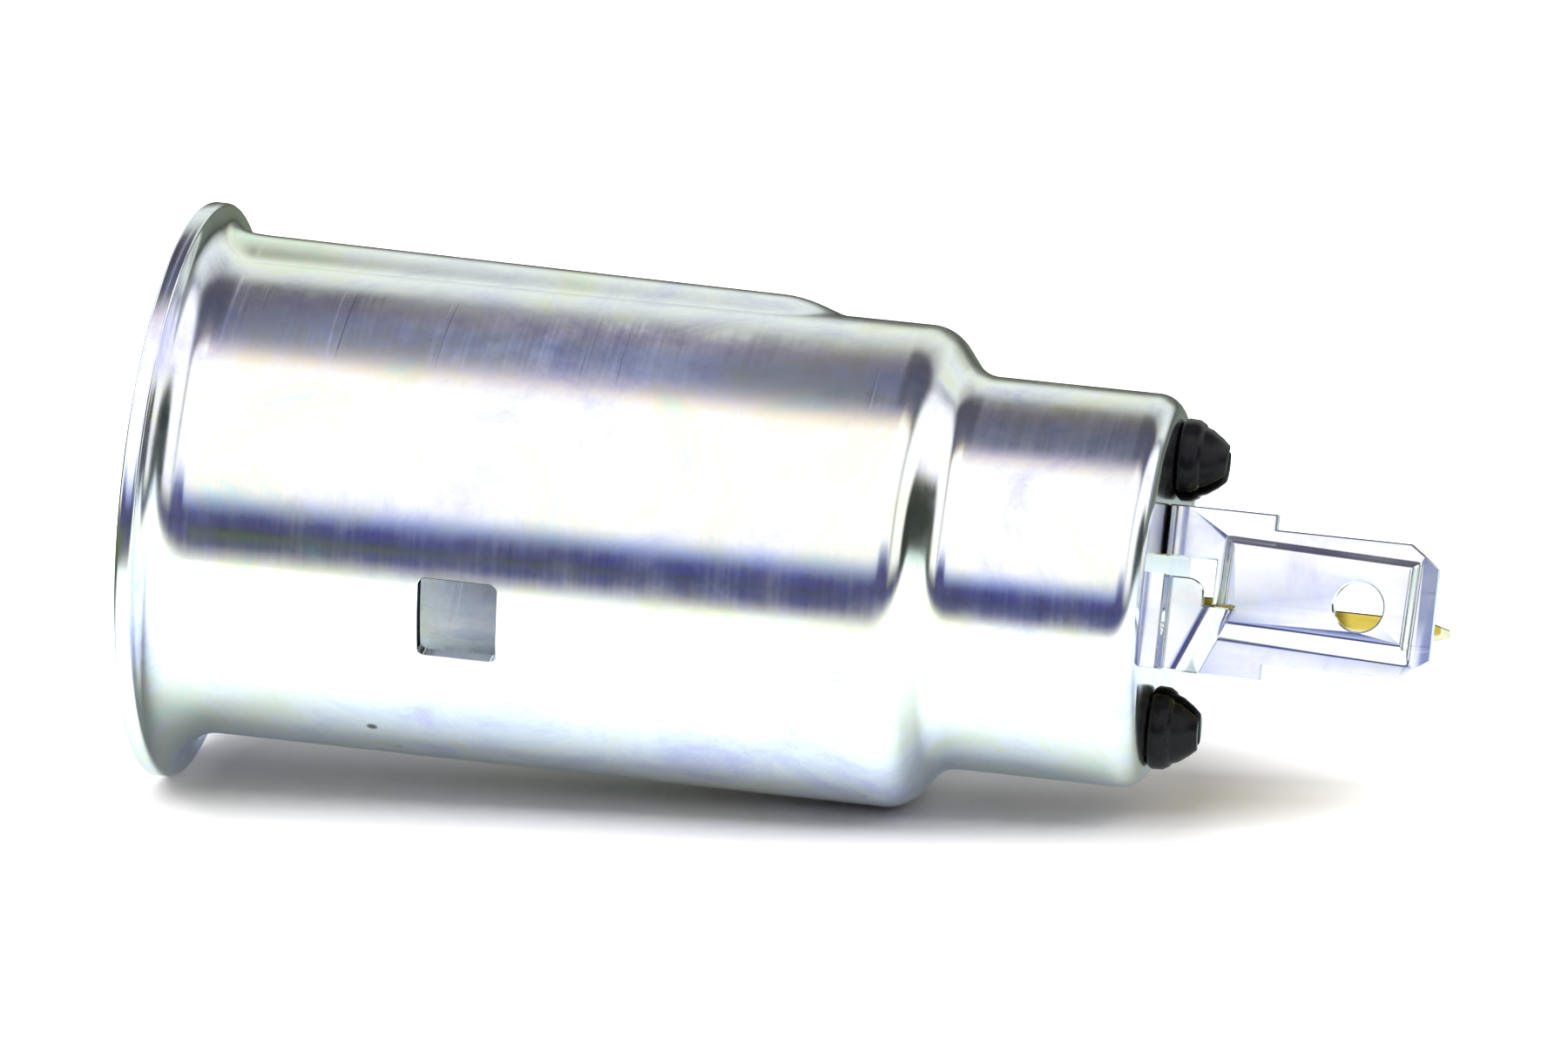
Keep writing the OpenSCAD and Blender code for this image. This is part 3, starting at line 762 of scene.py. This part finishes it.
def makeGround():
    g, t = groundSize, tabSize
    middle, half, bend, tip = g["middle"], t["thickness"] / 2, g["bend"], t["tip"]
    footZ = g["wallZ"] + half
    frontMiddle = middle + g["step"]
    frontEnd, rearEnd = frontMiddle - half + g["frontFoot"], middle + half - g["rearFoot"]
    legTop, stepFrom = g["legTop"], g["stepFrom"]

    # The step from the front leg back to the tab starts lower toward the sheet's lower side
    def stepShift(u):
        return g["stepSlant"] * (min(u, stepFrom) - stepFrom)

    def frontPath(u):
        start = (frontMiddle, g["legEnd"] + stepShift(u))
        return ([(middle, tip)] + doubleBend(start, g["step"], bend, bend, g["slope"])[::-1]
                + arc((frontMiddle + bend, footZ + bend), bend, 180, 270) + [(frontEnd, footZ)])

    rearBend = g["rearBend"]
    rearPath = [(middle, tip)] + arc((middle - rearBend, footZ + rearBend), rearBend, 0, -90) + [(rearEnd, footZ)]
    rearPlace, rearLengths = pathPlace(rearPath)
    frontLengths = pathPlace(frontPath(stepFrom))[1]
    frontS = [tip - length for length in frontLengths[1:-1]]
    rearS = [tip - length for length in rearLengths[1:-1]]
    stepPoints = 2 * (bendSteps + 1)
    stepS, bendS = frontS[:stepPoints], frontS[stepPoints:]
    frontLow, rearLow = tip - frontLengths[-1], tip - rearLengths[-1]
    legS = stepS[-1]
    known = {}

    def place(u, s, offset):
        if u < stepFrom + g["slit"] / 2 or (s < legS + g["legOver"] and u < legTop + g["legAside"]):
            key = round(min(u, stepFrom), 4)
            if key not in known:
                known[key] = pathPlace(frontPath(key))[0]
            y, z = known[key](tip - s, offset)
        else:
            y, z = rearPlace(tip - s, offset)
        return Vector((g["x"] + u, y, z))

    left, right, inRight = -g["shoulder"], g["shoulder"], g["shoulder"] - g["rearWidth"]
    outline = [(left, frontLow), (legTop, frontLow)] + [(legTop, s) for s in bendS[::-1]]
    outline += arc((legTop - g["legRound"], legS - g["legRound"]), g["legRound"], 0, 90)
    outline += [(stepFrom, s) for s in stepS[::-1]]
    outline += [(stepFrom + g["slit"], stepS[0]), (stepFrom + g["slit"], g["edge"]), (inRight, g["edge"])]
    outline += [(inRight, s) for s in rearS] + [(inRight, rearLow), (right, rearLow)]
    outline += [(right, s) for s in rearS[::-1]] + [(right, g["root"])]
    outline += [(t["width"] / 2, g["root"])] + tipCorners(-t["width"] / 2, t["width"] / 2)
    outline += [(-t["width"] / 2, g["root"]), (left, g["root"])]
    outline += [(left, s + stepShift(left)) for s in stepS] + [(left, s) for s in bendS]
    taper = [p for p in outline if abs(p[1] - (tip - t["taper"])) < samePoint]
    lines = [((left, s + stepShift(left)), (stepFrom, s)) for s in stepS] + [((left, s), (legTop, s)) for s in bendS]
    lines += [((inRight, s), (right, s)) for s in rearS] + [tuple(taper)]
    creases = panelCreases()
    welds = [((left + legTop) / 2, bendS[-1] - g["weldFront"]),
             (right - g["rearWidth"] / 2, rearS[-1] - g["weldRear"])]
    for centre in welds:
        creases += [circle(centre, radius, g["weldPoints"]) for radius in (g["weld"], g["weld"] - g["weldEdge"])]

    def frontLift(u, s):
        reach = hypot(u - welds[0][0], s - welds[0][1])
        return panelLift(u, s) - (g["weldDepth"] if reach < g["weld"] - g["weldEdge"] / 2 else 0)

    hole = circle((0, t["detent"]), g["hole"], g["holePoints"], clockwise=True)
    mesh = stampSheet(outline, [hole], place, tabThickness, t["bevel"], creases, lines, frontLift, panelLift)
    return finishMesh("groundTab", mesh, terminalSteel, "ground_terminal", sharp=28)


makeGround()
print("ground terminal ready")


def makePositive():
    p, t = positiveSize, tabSize
    bend, tip = t["bend"], t["tip"]
    path = [(0, tip)] + arc((bend, p["footZ"] + bend), bend, 180, 270) + [(p["footLength"], p["footZ"])]
    sheetPlace, lengths = pathPlace(path)

    def place(u, s, offset):
        x, z = sheetPlace(tip - s, offset)
        return Vector((p["x"] + x, u, z))

    bends = [tip - length for length in lengths[1:-1]]
    low = tip - lengths[-1]
    foot = bends[-1]
    outline = [(-p["footHalf"], low), (p["footHalf"], low), (p["footHalf"], foot)]
    outline += [(p["high"], s) for s in bends[::-1]] + tipCorners(p["low"], p["high"])
    outline += [(p["low"], s) for s in bends] + [(-p["footHalf"], foot)]
    taper = [q for q in outline if abs(q[1] - (tip - t["taper"])) < samePoint]
    lines = [((p["low"], s), (p["high"], s)) for s in bends[:-1]] + [tuple(taper)]
    middle = (p["low"] + p["high"]) / 2
    places = [((middle, t["detent"]), p["hole"]), ((0, foot - (p["rivetX"] - bend)), p["rivetHole"])]
    holes = [circle(centre, radius, p["holePoints"], clockwise=True) for centre, radius in places]
    mesh = stampSheet(outline, holes, place, tabThickness, t["bevel"], (), lines)
    return finishMesh("positiveTab", mesh, terminalBrass, "positive_terminal", sharp=28)


makePositive()
print("positive terminal ready")


# Contact spring and its rivet, inside the socket

springSize = {
    "thickness": 0.5, "width": 3.8, "z": 42.45, "start": 0.5, "end": 3.6, "bend": 1.1, "slope": 30,
    "crown": 6, "reach": 5, "round": 1.2, "bevel": 0.05, "hole": 1.2, "rivetX": 2.0,
    "bendSteps": 12, "crownSteps": 14, "roundSteps": 6, "holePoints": 28, "clear": 0.01,
}
# The curves of the rivet's head and rolled end are steps out from the radius and up from the height before them
rivetSize = {
    "x": 2.0, "base": 42.2, "headHeight": 0.7, "shank": 1.1, "rollTop": 46.0, "boreLow": 43.5, "segments": 40,
    "head": 1.5, "headCurve": [(-0.5, -0.64), (-0.25, -0.5), (-0.08, -0.28), (0, -0.12), (-0.04, 0)],
    "roll": 1.5, "rollCurve": [(-0.1, -0.5), (0, -0.35), (-0.1, -0.12), (-0.35, 0)],
    "bore": 0.6, "boreCurve": [(0.15, -0.04), (0, -0.2)],
}


def makeSpring():
    s = springSize
    slope, bend, crown = rad(s["slope"]), s["bend"], s["crown"]
    leafX = s["end"] + bend * sin(slope)
    leafZ = s["z"] - bend * (1 + cos(slope))
    crownX = crown * sin(slope)
    crownZ = leafZ - (leafX - crownX) * tan(slope) + crown * cos(slope)
    tipZ = crownZ - crown * cos(slope) + (s["reach"] - crownX) * tan(slope)
    path = ([(s["start"], s["z"])] + arc((s["end"], s["z"] - bend), bend, 90, s["slope"] - 90, s["bendSteps"])
            + arc((0, crownZ), crown, s["slope"] - 90, -90 - s["slope"], s["crownSteps"]) + [(-s["reach"], tipZ)])
    sheetPlace, lengths = pathPlace(path)
    total = lengths[-1]

    def place(u, v, offset):
        x, z = sheetPlace(total - v, offset)
        return Vector((x, u, z))

    half, corner, steps = s["width"] / 2, s["round"], s["roundSteps"]
    bends = [v for v in (total - length for length in lengths[1:-1]) if v > corner + s["clear"]]
    outline = arc((half - corner, corner), corner, 270, 360, steps) + [(half, v) for v in bends[::-1]]
    outline += [(half, total), (-half, total)] + [(-half, v) for v in bends]
    outline += arc((-half + corner, corner), corner, 180, 270, steps)
    lines = [((-half, v), (half, v)) for v in bends]
    holes = [circle((0, total - (s["rivetX"] - s["start"])), s["hole"], s["holePoints"], clockwise=True)]
    mesh = stampSheet(outline, holes, place, lambda u, v: s["thickness"], s["bevel"], (), lines)
    return finishMesh("contactLeaf", mesh, springBrass, "contact_spring", sharp=28)


def makeRivet():
    r = rivetSize
    curves = [[(radius + out, z + up) for out, up in curve] for radius, z, curve in (
        (r["head"], r["base"], r["headCurve"]), (r["roll"], r["rollTop"], r["rollCurve"]),
        (r["bore"], r["rollTop"], r["boreCurve"]))]
    shank = [(r["shank"], r["base"]), (r["shank"], curves[1][0][1])]
    profile = [(0, r["base"] - r["headHeight"])] + curves[0] + shank + curves[1] + curves[2]
    mesh = lathe(profile + [(r["bore"], r["boreLow"]), (0, r["boreLow"])], r["segments"], (r["x"], 0))
    return finishMesh("contactRivet", mesh, rivetBrass, "contact_rivet", sharp=28)


makeSpring()
makeRivet()
print("contact ready")


# Insulator: a moulded cup with two split snap posts and a collar round the positive tab

cupSize = {"outer": 8.3, "inner": 7.3, "skirt": 39.9, "floor": 43.5, "top": 46.1, "edge": 0.5, "round": 0.08,
           "tabX": -0.4, "collarX": 1.0, "collarLow": -6.1, "collarHigh": 1.4, "collarTop": 47.0,
           "slotX": 0.5, "slotLow": -5.6, "slotHigh": 0.9, "footCut": 1.1,
           "footRise": 0.7, "rivetX": 2.0, "rivetHole": 1.2, "rollHole": 1.6, "rollZ": 45.4,
           "overlap": 0.3, "over": 1, "segments": 96, "holeSegments": 32}
# The head of a post: its radius at each height above the seat, with a wide flange below a narrower lug
postSize = {"x": 6.25, "shank": 1.6, "seat": 46.95, "slot": 0.3, "turn": 28, "steps": 20, "bevel": 0.12, "sharp": 40,
            "head": [(1.83, 0), (1.95, 0.2), (1.92, 0.7), (1.75, 0.99), (1.62, 1.05), (1.52, 1.35), (1.17, 1.85),
                     (0.85, 2.2)]}


def scratchObject(mesh):
    bmesh.ops.recalc_face_normals(mesh, faces=mesh.faces)
    return meshObject("scratch", mesh)


def block(x0, x1, y0, y1, z0, z1):
    mesh = bmesh.new()
    bmesh.ops.create_cube(mesh, size=1)
    bmesh.ops.scale(mesh, vec=(x1 - x0, y1 - y0, z1 - z0), verts=mesh.verts)
    bmesh.ops.translate(mesh, vec=((x0 + x1) / 2, (y0 + y1) / 2, (z0 + z1) / 2), verts=mesh.verts)
    return scratchObject(mesh)


def applyModifiers(item):
    graph = bpy.context.evaluated_depsgraph_get()
    data = bpy.data.meshes.new_from_object(item.evaluated_get(graph))
    item.modifiers.clear()
    item.data = data


def combine(item, tools, operation):
    for tool in tools:
        step = item.modifiers.new(operation, "BOOLEAN")
        step.operation, step.object, step.solver = operation, tool, "EXACT"
    applyModifiers(item)
    for tool in tools:
        bpy.data.objects.remove(tool)


def softenEdges(item, width, angle=30):
    step = item.modifiers.new("bevel", "BEVEL")
    step.width, step.segments, step.limit_method, step.angle_limit = width, 2, "ANGLE", rad(angle)
    applyModifiers(item)


# One half of a split post: the part of a revolved outline that lies beyond the slot
def makePostHalf(x, side):
    p = postSize
    profile = [(p["shank"], cupSize["top"] - cupSize["overlap"]), (p["shank"], p["seat"])]
    profile += [(radius, p["seat"] + rise) for radius, rise in p["head"]]
    steps, turn = p["steps"], rad(p["turn"]) * (-1 if x > 0 else 1)
    mesh = bmesh.new()
    rings = []
    for radius, z in profile:
        first = asin(p["slot"] / radius)
        angles = [first + (pi - 2 * first) * i / steps for i in range(steps + 1)]
        rings.append([mesh.verts.new((x + radius * cos(side * a + turn), radius * sin(side * a + turn), z))
                      for a in angles])
    for end in (rings[0], rings[-1]):
        mesh.faces.new(end)
    for low, high in zip(rings, rings[1:]):
        for i in range(steps + 1):
            j = (i + 1) % (steps + 1)
            mesh.faces.new((low[i], low[j], high[j], high[i]))
    half = scratchObject(mesh)
    softenEdges(half, p["bevel"], p["sharp"])
    return half


def makeInsulator():
    c, overlap, over = cupSize, cupSize["overlap"], cupSize["over"]
    profile = [(0, c["floor"]), (c["inner"], c["floor"]), (c["inner"], c["skirt"]), (c["outer"], c["skirt"]),
               (c["outer"], c["top"] - c["edge"]), (c["outer"] - c["edge"], c["top"]), (0, c["top"])]
    cup = scratchObject(lathe(profile, c["segments"]))
    x = c["tabX"]
    collar = block(x - c["collarX"], x + c["collarX"], c["collarLow"], c["collarHigh"], c["top"] - overlap,
                   c["collarTop"])
    combine(cup, [collar], "UNION")
    low = c["floor"] - over
    rivetHole = [(0, low), (c["rivetHole"], low), (c["rivetHole"], c["rollZ"]), (c["rollHole"], c["rollZ"]),
                 (c["rollHole"], c["top"] + over), (0, c["top"] + over)]
    cuts = [block(x - c["slotX"], x + c["slotX"], c["slotLow"], c["slotHigh"], low, c["collarTop"] + over),
            block(x, x + c["footCut"], c["slotLow"], c["slotHigh"], low, c["floor"] + c["footRise"]),
            scratchObject(lathe(rivetHole, c["holeSegments"], (c["rivetX"], 0)))]
    combine(cup, cuts, "DIFFERENCE")
    softenEdges(cup, c["round"])
    halves = [makePostHalf(x, side) for x in (-postSize["x"], postSize["x"]) for side in (-1, 1)]
    combine(cup, halves, "UNION")
    mesh = bmesh.new()
    mesh.from_mesh(cup.data)
    bpy.data.objects.remove(cup)
    return finishMesh("snapInsulator", mesh, blackMoulding, "insulator", sharp=35)


makeInsulator()
print("insulator ready")


# Table and light. The socket lies on its flared rim and its shoulder.

tableSize = {
    "up": (0.9569, 0.2834, -0.0661), "touch": 13.6, "size": 900, "colour": (0.92, 0.92, 0.93, 1), "rough": 0.9,
    "farGlow": 0.75, "farFrom": 26, "farTo": 38, "farCentre": 25,
    "mirrorGlow": 0.3, "underFrom": -2, "underTo": 16, "glowEnd": 0.5,
    "mirror": [(0, (0.81, 0.94, 0.98)), (0.2, (0.86, 0.93, 0.76)), (0.42, (0.36, 0.36, 0.38)),
               (1, (0.055, 0.06, 0.15))],
    "paperEdge": 36, "paperFade": 54, "backEdge": 38, "backFade": 24, "leftEdge": -12, "leftFade": 20,
    "leftRoom": (0.08, 0.1, 0.07, 1), "backRoom": (0.16, 0.19, 0.15, 1),
}


def tableAxes():
    up = Vector(tableSize["up"]).normalized()
    front = Vector((0, 0, 1)).cross(up).normalized()
    return up, front, up.cross(front)


# Glossy rays that no matt surface has scattered, so that what the metal mirrors lights nothing else
def mirrorRays(tree, path):
    direct = calc(tree, "SUBTRACT", 1, calc(tree, "MINIMUM", path["Diffuse Depth"], 1))
    return calc(tree, "MULTIPLY", path["Is Glossy Ray"], direct)


def makeTable(up, front, along):
    t = tableSize
    point = -Vector((up.x, up.y, 0)).normalized() * t["touch"]
    mesh = bmesh.new()
    corners = [point + (along * a + front * b) * t["size"] for a, b in ((-1, 1), (1, 1), (1, -1), (-1, -1))]
    mesh.faces.new([mesh.verts.new(c * mm) for c in corners])
    table = meshObject("table", mesh)
    material, tree, shader = newMaterial("whiteTable")
    setInputs(tree, shader, {"Roughness": t["rough"], "Specular IOR Level": 0, "Emission Color": (1, 1, 1, 1)})
    path = addNode(tree, "LightPath").outputs
    place = addNode(tree, "NewGeometry").outputs
    # The white paper ends a little way off in front, behind and at the left, where the metal mirrors a dark room
    across = measure(tree, "DOT_PRODUCT", place["Position"], front)
    length = measure(tree, "DOT_PRODUCT", place["Position"], along)
    frontEnd = stretch(tree, across, t["paperEdge"] * mm, (t["paperEdge"] + t["paperFade"]) * mm)
    backEnd = stretch(tree, across, -t["backEdge"] * mm, -(t["backEdge"] + t["backFade"]) * mm)
    leftEnd = stretch(tree, length, t["leftEdge"] * mm, (t["leftEdge"] - t["leftFade"]) * mm)
    paper = mixColour(tree, backEnd, colourRamp(tree, frontEnd, t["mirror"]), t["backRoom"])
    paper = mixColour(tree, leftEnd, paper, t["leftRoom"])
    glossy = mirrorRays(tree, path)
    tree.links.new(mixColour(tree, glossy, t["colour"], paper), shader.inputs["Base Color"])
    # The mirrored paper glows a little, though not under the socket or past its own ends
    end = calc(tree, "MAXIMUM", calc(tree, "MAXIMUM", frontEnd, backEnd), leftEnd)
    under = stretch(tree, across, t["underFrom"] * mm, t["underTo"] * mm, 0, t["mirrorGlow"])
    lit = calc(tree, "MULTIPLY", calc(tree, "MULTIPLY", glossy, stretch(tree, end, 0, t["glowEnd"], 1, 0)), under)
    # Far from the socket the paper is plain white, and near it the lamp alone draws the shadow
    seen = calc(tree, "MAXIMUM", path["Is Camera Ray"], path["Is Transmission Ray"])
    away = measure(tree, "DISTANCE", place["Position"], (0, 0, t["farCentre"] * mm))
    glow = stretch(tree, away, t["farFrom"] * mm, t["farTo"] * mm, 0, t["farGlow"])
    tree.links.new(calc(tree, "MULTIPLY_ADD", seen, glow, lit), shader.inputs["Emission Strength"])
    clear = addNode(tree, "BsdfTransparent").outputs[0]
    mixed = addNode(tree, "MixShader", {0: place["Backfacing"], 1: shader.outputs[0], 2: clear})
    tree.links.new(mixed.outputs[0], tree.nodes["Material Output"].inputs["Surface"])
    table.data.materials.append(material)


# What the metal mirrors: bands round the socket's axis by angle from the front, from -180 to 180 degrees with
# the light overhead at 90, then the end of the light tent and the cards at its sides by angle along the axis.
studio = {
    "fill": 0.02, "backFill": 0.6, "fillFrom": 85, "fillTo": 115,
    "round": [
        (-180, (0.12, 0.13, 0.12)), (-150, (0.6, 0.62, 0.62)), (-40, (0.24, 0.24, 0.32)), (-12, (0.12, 0.12, 0.27)),
        (5, (0.06, 0.063, 0.22)), (10.5, (0.36, 0.44, 0.76)), (14.5, (0.86, 0.91, 1.08)), (18, (1.25, 1.25, 1.27)),
        (78, (1.25, 1.25, 1.25)), (83, (1.12, 1, 0.9)), (89, (0.62, 0.58, 0.68)), (98, (0.38, 0.41, 0.57)),
        (110, (0.3, 0.33, 0.47)), (124, (0.34, 0.31, 0.38)), (138, (0.56, 0.59, 0.54)), (150, (0.8, 0.86, 0.8)),
        (160, (0.92, 1.0, 0.92)), (167, (0.68, 0.72, 0.66)), (172, (0.22, 0.24, 0.2)), (180, (0.12, 0.13, 0.12)),
    ],
    "curls": [(8, 32, 6), (-38, -20, 6)], "curl": 8,
    "core": (87, 134, 9),
    "shade": [(-10, 0.25), (-9, 0.28), (-8.4, 0.56), (-7.9, 1.7), (-7.4, 1.7), (-6.5, 0.62), (-4.9, 0.33), (0, 0.3)],
    "gap": (0.28, 0.3, 0.33, 1), "gapFrom": 37, "gapTo": 40,
    "end": (0.035, 0.045, 0.04, 1), "endFrom": 60, "endTo": 68,
    "side": (1.25, 1.25, 1.27, 1), "sideFrom": 45, "sideTo": 66, "sideLow": 2, "sideHigh": 158, "fade": 10,
    "leftCard": (1.2, 1.22, 1.2, 1), "leftFrom": -78, "leftTo": -40, "rimLine": (0.1, 0.13, 0.1, 1),
}


def makeWorld(up, front, along):
    s = studio
    world = bpy.data.worlds.new("studio")
    bpy.context.scene.world = world
    world.use_nodes = True
    tree = world.node_tree
    tree.nodes.clear()
    spot = addNode(tree, "TexCoord").outputs["Generated"]
    above, ahead, beside = [measure(tree, "DOT_PRODUCT", spot, way) for way in (up, front, along)]
    angle = calc(tree, "MULTIPLY", calc(tree, "ARCTAN2", above, ahead), 180 / pi)
    tilt = calc(tree, "MULTIPLY", calc(tree, "ARCSINE", beside), 180 / pi)

    def between(value, low, high, fade):
        return calc(tree, "MULTIPLY", stretch(tree, value, low, low + fade),
                    stretch(tree, value, high, high + fade, 1, 0))

    # The bands curl up where the metal bends away along the axis
    curl = calc(tree, "MAXIMUM", *[between(tilt, *span) for span in s["curls"]])
    turn = stretch(tree, calc(tree, "SUBTRACT", angle, calc(tree, "MULTIPLY", curl, s["curl"])), -180, 180)
    bands = colourRamp(tree, turn, [((degrees + 180) / 360, colour) for degrees, colour in s["round"]])
    # The dark card overhead is darker toward both of its ends
    low, high = s["shade"][0][0], s["shade"][-1][0]
    shades = [((degrees - low) / (high - low), (share, share, share)) for degrees, share in s["shade"]]
    shade = colourRamp(tree, stretch(tree, tilt, low, high), shades)
    bands = mixColour(tree, between(angle, *s["core"]), bands, shade, "MULTIPLY")
    # To the right the tent ends, with a card in front of its end, and to the left a card stands past a dark line
    tentEnd = mixColour(tree, stretch(tree, tilt, s["endFrom"], s["endTo"]), s["gap"], s["end"])
    room = mixColour(tree, between(tilt, s["gapFrom"], 90, s["gapTo"] - s["gapFrom"]), bands, tentEnd)
    height = between(angle, s["sideLow"], s["sideHigh"], s["fade"])
    right = between(tilt, s["gapTo"], s["sideTo"], s["sideFrom"] - s["gapTo"])
    room = mixColour(tree, calc(tree, "MULTIPLY", right, height), room, s["side"])
    room = mixColour(tree, stretch(tree, tilt, s["leftTo"] + s["fade"], s["leftTo"]), room, s["rimLine"])
    left = between(tilt, s["leftFrom"], s["leftTo"], s["fade"])
    room = mixColour(tree, calc(tree, "MULTIPLY", left, height), room, s["leftCard"])
    mirrored = addNode(tree, "Background", {"Color": room}).outputs[0]
    # The paper that rises behind the socket sends some light back under it
    fill = stretch(tree, angle, s["fillFrom"], s["fillTo"], s["fill"], s["backFill"])
    plain, white = [addNode(tree, "Background", {"Color": (1, 1, 1, 1), "Strength": strength}).outputs[0]
                    for strength in (fill, 1)]
    path = addNode(tree, "LightPath").outputs
    soft = addNode(tree, "MixShader", {0: mirrorRays(tree, path), 1: plain, 2: mirrored}).outputs[0]
    shown = calc(tree, "MAXIMUM", path["Is Camera Ray"], path["Is Transmission Ray"])
    seen = addNode(tree, "MixShader", {0: shown, 1: soft, 2: white}).outputs[0]
    addNode(tree, "OutputWorld", {"Surface": seen})


lampSize = {"power": 5.6, "width": 1.4, "height": 0.3, "away": 0.45, "elevation": 66, "left": 2, "middle": 25}


def makeLamp(up, front, along):
    lamp = lampSize
    data = bpy.data.lights.new("softbox", "AREA")
    data.shape, data.energy = "RECTANGLE", lamp["power"]
    data.size, data.size_y = lamp["width"], lamp["height"]
    softbox = linkObject("softbox", data)
    rise, left = rad(lamp["elevation"]), rad(lamp["left"])
    toward = ((front * cos(rise) + up * sin(rise)) * cos(left) - along * sin(left)).normalized()
    across = along.cross(toward).normalized()
    turn = Matrix((toward.cross(across), -across, toward)).transposed()
    middle = Vector((0, 0, lamp["middle"] * mm))
    softbox.matrix_world = Matrix.Translation(middle + toward * lamp["away"]) @ turn.to_4x4()
    softbox.visible_glossy = False


axes = tableAxes()
makeTable(*axes)
makeWorld(*axes)
makeLamp(*axes)
bpy.context.scene.view_settings.view_transform = "Standard"
print("studio ready")
